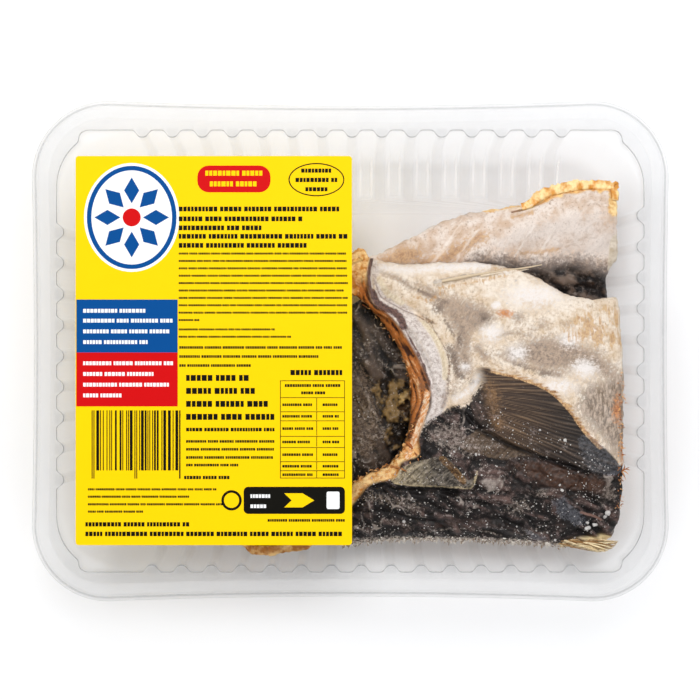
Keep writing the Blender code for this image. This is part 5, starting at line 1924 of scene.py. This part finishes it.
def tube(path, radii):
    """Points and faces of a tube along a path, with a radius for each of its points."""
    ahead = np.gradient(path, axis=0)
    ahead /= np.linalg.norm(ahead, axis=1, keepdims=True)
    aside = np.cross(ahead, (0, 0, 1))
    aside /= np.maximum(np.linalg.norm(aside, axis=1, keepdims=True), 1e-6)
    over = np.cross(aside, ahead)
    turns = 2 * math.pi * np.arange(SIDES) / SIDES
    ring = (np.cos(turns)[None, :, None] * aside[:, None]
            + np.sin(turns)[None, :, None] * over[:, None])
    points = (path[:, None] + ring * radii[:, None, None]).reshape(-1, 3)
    faces = []
    for row in range(len(path) - 1):
        for k in range(SIDES):
            a, b = row * SIDES + k, row * SIDES + (k + 1) % SIDES
            faces.append((a, b, b + SIDES, a + SIDES))
    faces.append(tuple(range(SIDES))[::-1])
    faces.append(tuple(range(len(points) - SIDES, len(points))))
    return points, faces


def add_fibres(name, fibres, shader, slot):
    """One piece from many tubes; each fibre is (path, thickest radius)."""
    points, faces, shade = [], [], []
    first = 0
    for number, (path, thick) in enumerate(fibres):
        share = np.linspace(0, 1, len(path))
        profile = 1 - 0.75 * share ** 1.5
        ring, quads = tube(path, thick * profile * (0.85 + 0.25 * np.sin(9 * share + number)))
        points.append(ring)
        faces += [tuple(i + first for i in quad) for quad in quads]
        shade.append(np.full(len(ring), (0.37 * number) % 1))
        first += len(ring)
    return add_piece(name, np.vstack(points), faces, shader, slot,
                     {"strand": np.concatenate(shade)}, smooth_angle=80)


def fibre_skin(name, dark, light):
    shader = Shader(name)
    grain = shader.noise(shader.millimetres(), 0.9, 4, 0.7)
    pick = shader.rise(shader.painted("strand") + 1.2 * (grain - 0.5), 0.1, 0.9)
    shader.set(Base_Color=shader.blend(pick, colour(dark), colour(light)), Roughness=0.6)
    return shader


def height_on(surface, bottom, places):
    """The upper face's height at some places of a cutlet."""
    return np.maximum(surface(places)[0], bottom(places) + THINNEST)


def curved(start, end, bow, lift, steps=5):
    """A path between two points that bows sideways and rises in its middle."""
    start, end = np.asarray(start, float), np.asarray(end, float)
    share = np.linspace(0, 1, steps)[:, None]
    aside = np.array([start[1] - end[1], end[0] - start[0], 0])
    return (start + (end - start) * share + aside * bow * np.sin(math.pi * share)
            + np.array([0, 0, lift]) * np.sin(math.pi * share))


def stretch(places, first, last):
    """The numbers of the outline's points nearest to first and last, the second one higher."""
    ends = [np.linalg.norm(places - np.array(end), axis=1).argmin() for end in (first, last)]
    if ends[1] < ends[0]:
        ends[1] += len(places)
    return ends


def tufts(loop, first, last, length, thick, count, surface, bottom, rng, inset=(0.4, 2.4),
          drop=0.2, lean=1, along=0):
    """Fibres spread along part of an outline, from point first to point last.

    They lean outward, turned at random by lean, or turned further by along to lie at the edge.
    """
    places = spline(loop, LINE_STEP, True)
    chosen = places[rng.uniform(*stretch(places, first, last), count).astype(int) % len(places)]
    chosen = chosen + rng.normal(0, 0.4, chosen.shape)
    away = chosen - places.mean(axis=0)
    away /= np.linalg.norm(away, axis=1, keepdims=True)
    starts = chosen - away * rng.uniform(*inset, (count, 1))
    low = height_on(surface, bottom, starts) - 0.3
    turn = rng.normal(0, lean, count) + along * rng.choice([-1, 1], count)
    reach = length * rng.uniform(0.4, 1, count)
    heading = np.column_stack([away[:, 0] * np.cos(turn) - away[:, 1] * np.sin(turn),
                               away[:, 0] * np.sin(turn) + away[:, 1] * np.cos(turn)])
    ends = starts + heading * reach[:, None]
    high = low + rng.uniform(0.1, 0.9, count) - drop * reach
    return [(curved((*start, a), (*end, b), rng.normal(0, 0.15), rng.uniform(0, 0.5)),
             thick * rng.uniform(0.6, 1.2))
            for start, a, end, b in zip(starts, low, ends, high)]


print("a fibre has", SIDES, "sides")

# %% The fibres of this pack
BUNDLE_ROOT = (79.6, -70.4)
BUNDLE_FAN = [(90.4, -73.6), (93.6, -73.2), (96.4, -71.6), (98.2, -69.4)]
STAR_ROOT = (97.9, -43.2)
STAR_TIPS = [(100.6, -41.8), (101, -43), (100.4, -44.6), (99, -40.9), (99.3, -46.4),
             (100, -42.4)]
SPINE = [(33, 25.2), (43.3, 27.2), (54.1, 29), (63, 30.1), (69.2, 31.2)]
FORK = [((20.4, -33), (24.6, -39.4)), ((20, -34), (21.6, -40.6)),
        ((19.4, -34), (25.4, -38)), ((15, -42), (20.2, -43.2))]
BUNDLE_FIBRES = 60
BUNDLE_SPREAD = (1.6, 0.7)
BUNDLE_TIPS_HEIGHT = 24.4
FIBRE_SEED = 12
main_sides = (main_surface, main_bottom)

rng = np.random.default_rng(FIBRE_SEED)
fan = spline(BUNDLE_FAN, 0.2, False)
starts = np.array(BUNDLE_ROOT) + rng.normal(0, 1, (BUNDLE_FIBRES, 2)) * BUNDLE_SPREAD
lows = height_on(*main_sides, starts)
bundle = [(curved((*start, low), (*fan[int(number * (len(fan) - 1) / (BUNDLE_FIBRES - 1))],
                                  BUNDLE_TIPS_HEIGHT + rng.uniform(-1.8, 0.6)),
                  rng.normal(0.04, 0.03), rng.uniform(0.2, 1.2), 7), rng.uniform(0.26, 0.62))
          for number, (start, low) in enumerate(zip(starts, lows))]
add_fibres("pale_fibre_bundle", bundle, fibre_skin("pale_fibre", "8F6838", "F4E2B8"),
           "mottled_fish")

star_height = height_on(*main_sides, np.array([STAR_ROOT]))[0] - 0.6
frays = [(curved((*STAR_ROOT, star_height), (*tip, star_height + rng.uniform(-0.6, 1)),
                 rng.normal(0, 0.1), 0.2), 0.34) for tip in STAR_TIPS]
for start, end in FORK:
    low, high = height_on(*main_sides, np.array([start, end]))
    frays.append((curved((*start, low), (*end, high + 0.5), 0.08, 0.5, 7), 0.75))
frays += tufts(MAIN_OUTLINE, (21.2, -12.2), (3, 19), 1.2, 0.22, 34, *main_sides, rng)
frays += tufts(MAIN_OUTLINE, (-3.3, -53.6), (21.5, -24.8), 1.4, 0.3, 60, *main_sides, rng)
frays += tufts(MAIN_OUTLINE, (98.6, -8.6), (98.2, -59), 1.2, 0.26, 90, *main_sides, rng)
add_fibres("orange_frays", frays, fibre_skin("orange_fibre", "9A5420", "EDB777"), "mottled_fish")
crust = tufts(MAIN_OUTLINE, (78, -71.7), (-3.4, -71), 1.6, 0.34, 420, *main_sides, rng,
              (-0.2, 1.2), 0.9, 0.9)
add_fibres("pale_edge", crust, fibre_skin("crust_fibre", "9C8A79", "EEE7DE"), "mottled_fish")
print("fibres:", len(bundle) + len(frays) + len(crust))

# %% [markdown]
# Along three edges the flesh is torn into a golden band, too broad for fibres. It could be carved
# out of the cutlet, but then the whole slab would need a finer mesh. Here it is a strip of its own:
# a ring of points is swept along the outline, and random hills make it ragged and lumpy.

# %% Torn bands
BAND_STEP = 0.4
# How far out each point of the ring lies, and on which face.
BAND_RING = [(0, 1), (0.3, 1), (0.6, 1), (0.85, 1), (1, 1), (0.95, -1), (0.5, -1), (0.1, -1)]


def torn_band(loop, first, last, inset, reach, thick, seed, surface, bottom):
    """A ragged strip of torn flesh along part of an outline: its points and faces."""
    places = spline(loop, BAND_STEP, True)
    chosen = places[np.arange(*stretch(places, first, last)) % len(places)]
    along = np.gradient(chosen, axis=0)
    away = np.column_stack([along[:, 1], -along[:, 0]])
    away /= np.linalg.norm(away, axis=1, keepdims=True)
    if (away * (chosen - places.mean(axis=0))).sum() < 0:
        away = -away
    base = height_on(surface, bottom, chosen - away * inset)
    steps = np.arange(len(chosen))
    end = smoothstep(0, 16, steps) * smoothstep(0, 12, steps[::-1])
    swell = 0.45 * random_hills(chosen, 7, seed, 2) + 0.4 * random_hills(chosen, 1.3, seed + 2, 3)
    ragged_reach = reach * (0.6 + swell) * end
    rows = []
    for share, side in BAND_RING:
        plan = chosen + away * (-inset + share * (inset + ragged_reach))[:, None]
        lumps = 0.6 * random_hills(plan, 2.4, seed + 1, 4)
        z = base + end * thick * (0.5 * side + side * 0.5 * lumps) - 0.5 * share
        rows.append(np.column_stack([plan, z]))
    ring = len(rows)
    points = np.stack(rows, axis=1).reshape(-1, 3)
    faces = [tuple(range(ring))[::-1], tuple(range(len(points) - ring, len(points)))]
    for row in range(len(chosen) - 1):
        for k in range(ring):
            a, b = row * ring + k, row * ring + (k + 1) % ring
            faces.append((a, b, b + ring, a + ring))
    return points, faces


for name, band, tones, slot in [
    ("golden_knob", torn_band(MAIN_OUTLINE, (2, 20.6), (6.9, 34.9), 3.4, 1.5, 1.8, 83,
                              *main_sides), ("C27A28", "F8CC84"), "mottled_fish"),
    ("golden_fringe", torn_band(BACK_OUTLINE, (62, 54.2), (97.9, 54.5), 2.8, 1.6, 1.5, 85,
                                back_surface, back_bottom), ("D9943C", "FFE3A6"), "pale_fish"),
    ("golden_front", torn_band(LEFT_OUTLINE, (-39.6, -70.2), (-12.6, -69.4), 3, 0.9, 1.8, 89,
                               left_surface, left_bottom), ("BC7830", "F8D294"), "dark_fish"),
]:
    add_piece(name, *band, fibre_skin(name + "_flesh", *tones), slot,
              {"strand": 0.5 + 0.5 * random_hills(band[0][:, :2], 2, 87, 3)}, smooth_angle=180)

# %% The ray on the belly
spine_plan = spline(SPINE, 1.2, False)
spine_height = height_on(*main_sides, spine_plan) + 0.15
spine_height[-4:] = spine_height[-5] + np.array([-0.1, -0.1, 0.1, 0.5])
spine = [(np.column_stack([spine_plan, spine_height]), 0.7)]
spine.append((np.column_stack([spine_plan[-20:-4] - (0, 0.7), spine_height[-20:-4] - 0.3]), 0.5))
add_fibres("belly_ray", spine, fibre_skin("belly_ray_skin", "D2BD9F", "F8F0E4"), "mottled_fish")

# %% [markdown]
# ## Salt crystals
#
# Coarse salt still lies on the dark back. Each crystal is a small block with its corners knocked
# off, half sunk in the crust. They are real meshes at their true size, so that each one throws its
# own small shadow. A few large ones lie where the photograph shows them, the rest at random.

# %% Crystals
LARGE_CRYSTALS = [(93.1, -58.5), (86.1, -62.2), (88.8, -62.9), (86.1, -64.2), (92.4, -60),
                  (75.3, -48.1), (76.1, -50), (74.8, -69), (76.7, -31.8), (67.7, -28.2),
                  (45, -37), (37.2, -36), (19.5, -62)]
LARGEST = 5
SMALL_CRYSTALS = 440
SPOTS_TRIED = 9000
SPOTS_X, SPOTS_Y = (2, 97), (-70, -18)
CORNER_CUT = 0.62
CRYSTAL_SEED = 31


def crystal(place, size, rng):
    """A block of salt with bevelled corners, turned at random: its corner points and faces."""
    work = bmesh.new()
    for x in (-1, 1):
        for y in (-1, 1):
            for z in (-1, 1):
                a, b, c = CORNER_CUT * x, CORNER_CUT * y, CORNER_CUT * z
                for corner in ((x, b, c), (a, y, c), (a, b, z)):
                    work.verts.new(corner)
    bmesh.ops.convex_hull(work, input=work.verts[:])
    work.verts.index_update()
    spin = np.linalg.qr(rng.normal(size=(3, 3)))[0]
    spin[:, 0] *= np.sign(np.linalg.det(spin))
    shape = np.array([v.co[:] for v in work.verts]) * rng.uniform(0.6, 1.1, 3)
    faces = [tuple(v.index for v in face.verts) for face in work.faces]
    work.free()
    return shape @ spin.T * size / 2 + place, faces


def salt_glass():
    shader = Shader("salt_crystal")
    place = shader.millimetres()
    shader.set(Base_Color=shader.blend(shader.noise(place, 0.8), colour("A29C97"),
                                       colour("EAE7E4")), Roughness=0.4)
    shader.set(Specular_IOR_Level=0.3)
    return shader


rng = np.random.default_rng(CRYSTAL_SEED)
spots = np.column_stack([rng.uniform(*SPOTS_X, SPOTS_TRIED), rng.uniform(*SPOTS_Y, SPOTS_TRIED)])
thick = mask(spots, MAIN_MASKS["dark"]) * (0.25 + 0.75 * (random_hills(spots, 12, 91, 2) > -0.1))
thick *= depth(spots, MAIN_LOOP) > 1.5
spots = spots[rng.uniform(size=len(spots)) < thick][:SMALL_CRYSTALS]
places = np.vstack([LARGE_CRYSTALS, spots])
sizes = np.concatenate([rng.uniform(1.3, 1.9, LARGEST),
                        rng.uniform(0.7, 1.1, len(LARGE_CRYSTALS) - LARGEST),
                        0.25 + 0.38 * rng.uniform(size=len(spots)) ** 2.6])
levels = height_on(*main_sides, places) + 0.15 * sizes
crystal_points, crystal_faces, first = [], [], 0
for (x, y), z, size in zip(places, levels, sizes):
    shape, quads = crystal((x, y, z), size, rng)
    crystal_points.append(shape)
    crystal_faces += [tuple(i + first for i in quad) for quad in quads]
    first += len(shape)
add_piece("salt_crystals", np.vstack(crystal_points), crystal_faces, salt_glass(),
          "mottled_fish", smooth_angle=20)
print("crystals:", len(places))

# %% [markdown]
# ## Floor and lights
#
# The sheet under the pack is white and matt, and wide enough that its far edge never shows.

# %% Floor
FLOOR_HALF = 3


def make_floor():
    shader = Shader("white_sheet")
    clouds = shader.noise(shader.millimetres(), 180, detail=2)
    shader.set(Base_Color=shader.blend(clouds, colour("FAFBFD"), colour("F7F8FA")),
               Roughness=0.9)
    shader.set(Specular_IOR_Level=0.1)
    mesh = bpy.data.meshes.new("floor_sheet")
    mesh.from_pydata([(x * FLOOR_HALF, y * FLOOR_HALF, 0) for x, y in
                      ((-1, -1), (1, -1), (1, 1), (-1, 1))], [], [(0, 1, 2, 3)])
    mesh.materials.append(shader.material)
    floor = bpy.data.objects.new("floor_sheet", mesh)
    bpy.context.scene.collection.objects.link(floor)
    floor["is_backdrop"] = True
    return floor


make_floor()
print("floor:", 2 * FLOOR_HALF, "m wide")

# %% Soft boxes and the room
SOFT_BOXES = [
    # name, place, width, height, watts
    ("soft_box_behind", (0.06, 0.50, 1.16), 0.8, 0.46, 10.4),
    ("soft_box_left", (-0.95, -0.05, 0.95), 0.7, 0.9, 4.8),
    ("soft_box_right", (0.95, -0.20, 0.95), 0.7, 0.9, 3.7),
]
AIM = Vector((0, 0, 0.03))
ROOM_LIGHT = 0.33


def add_soft_box(name, place, width, height, watts):
    light = bpy.data.lights.new(name, "AREA")
    light.shape = "RECTANGLE"
    light.size = width
    light.size_y = height
    light.energy = watts
    lamp = bpy.data.objects.new(name, light)
    lamp.location = place
    lamp.rotation_euler = (AIM - Vector(place)).to_track_quat("-Z", "Y").to_euler()
    bpy.context.scene.collection.objects.link(lamp)


for soft_box in SOFT_BOXES:
    add_soft_box(*soft_box)
world = bpy.data.worlds.new("room")
bpy.context.scene.world = world
world.use_nodes = True
world.node_tree.nodes["Background"].inputs["Color"].default_value = (1, 1, 1, 1)
world.node_tree.nodes["Background"].inputs["Strength"].default_value = ROOM_LIGHT
print("soft boxes:", len(SOFT_BOXES))

# %% [markdown]
# ## Finishing
#
# The pieces are meant to fill the same box as the solids they stand for. Both boxes are printed.

# %% Boxes
visual_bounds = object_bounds()
boxes = {"cad": [list(map(float, corner)) for corner in cad_bounds],
         "visual": [list(map(float, corner)) for corner in visual_bounds]}
print(boxes)
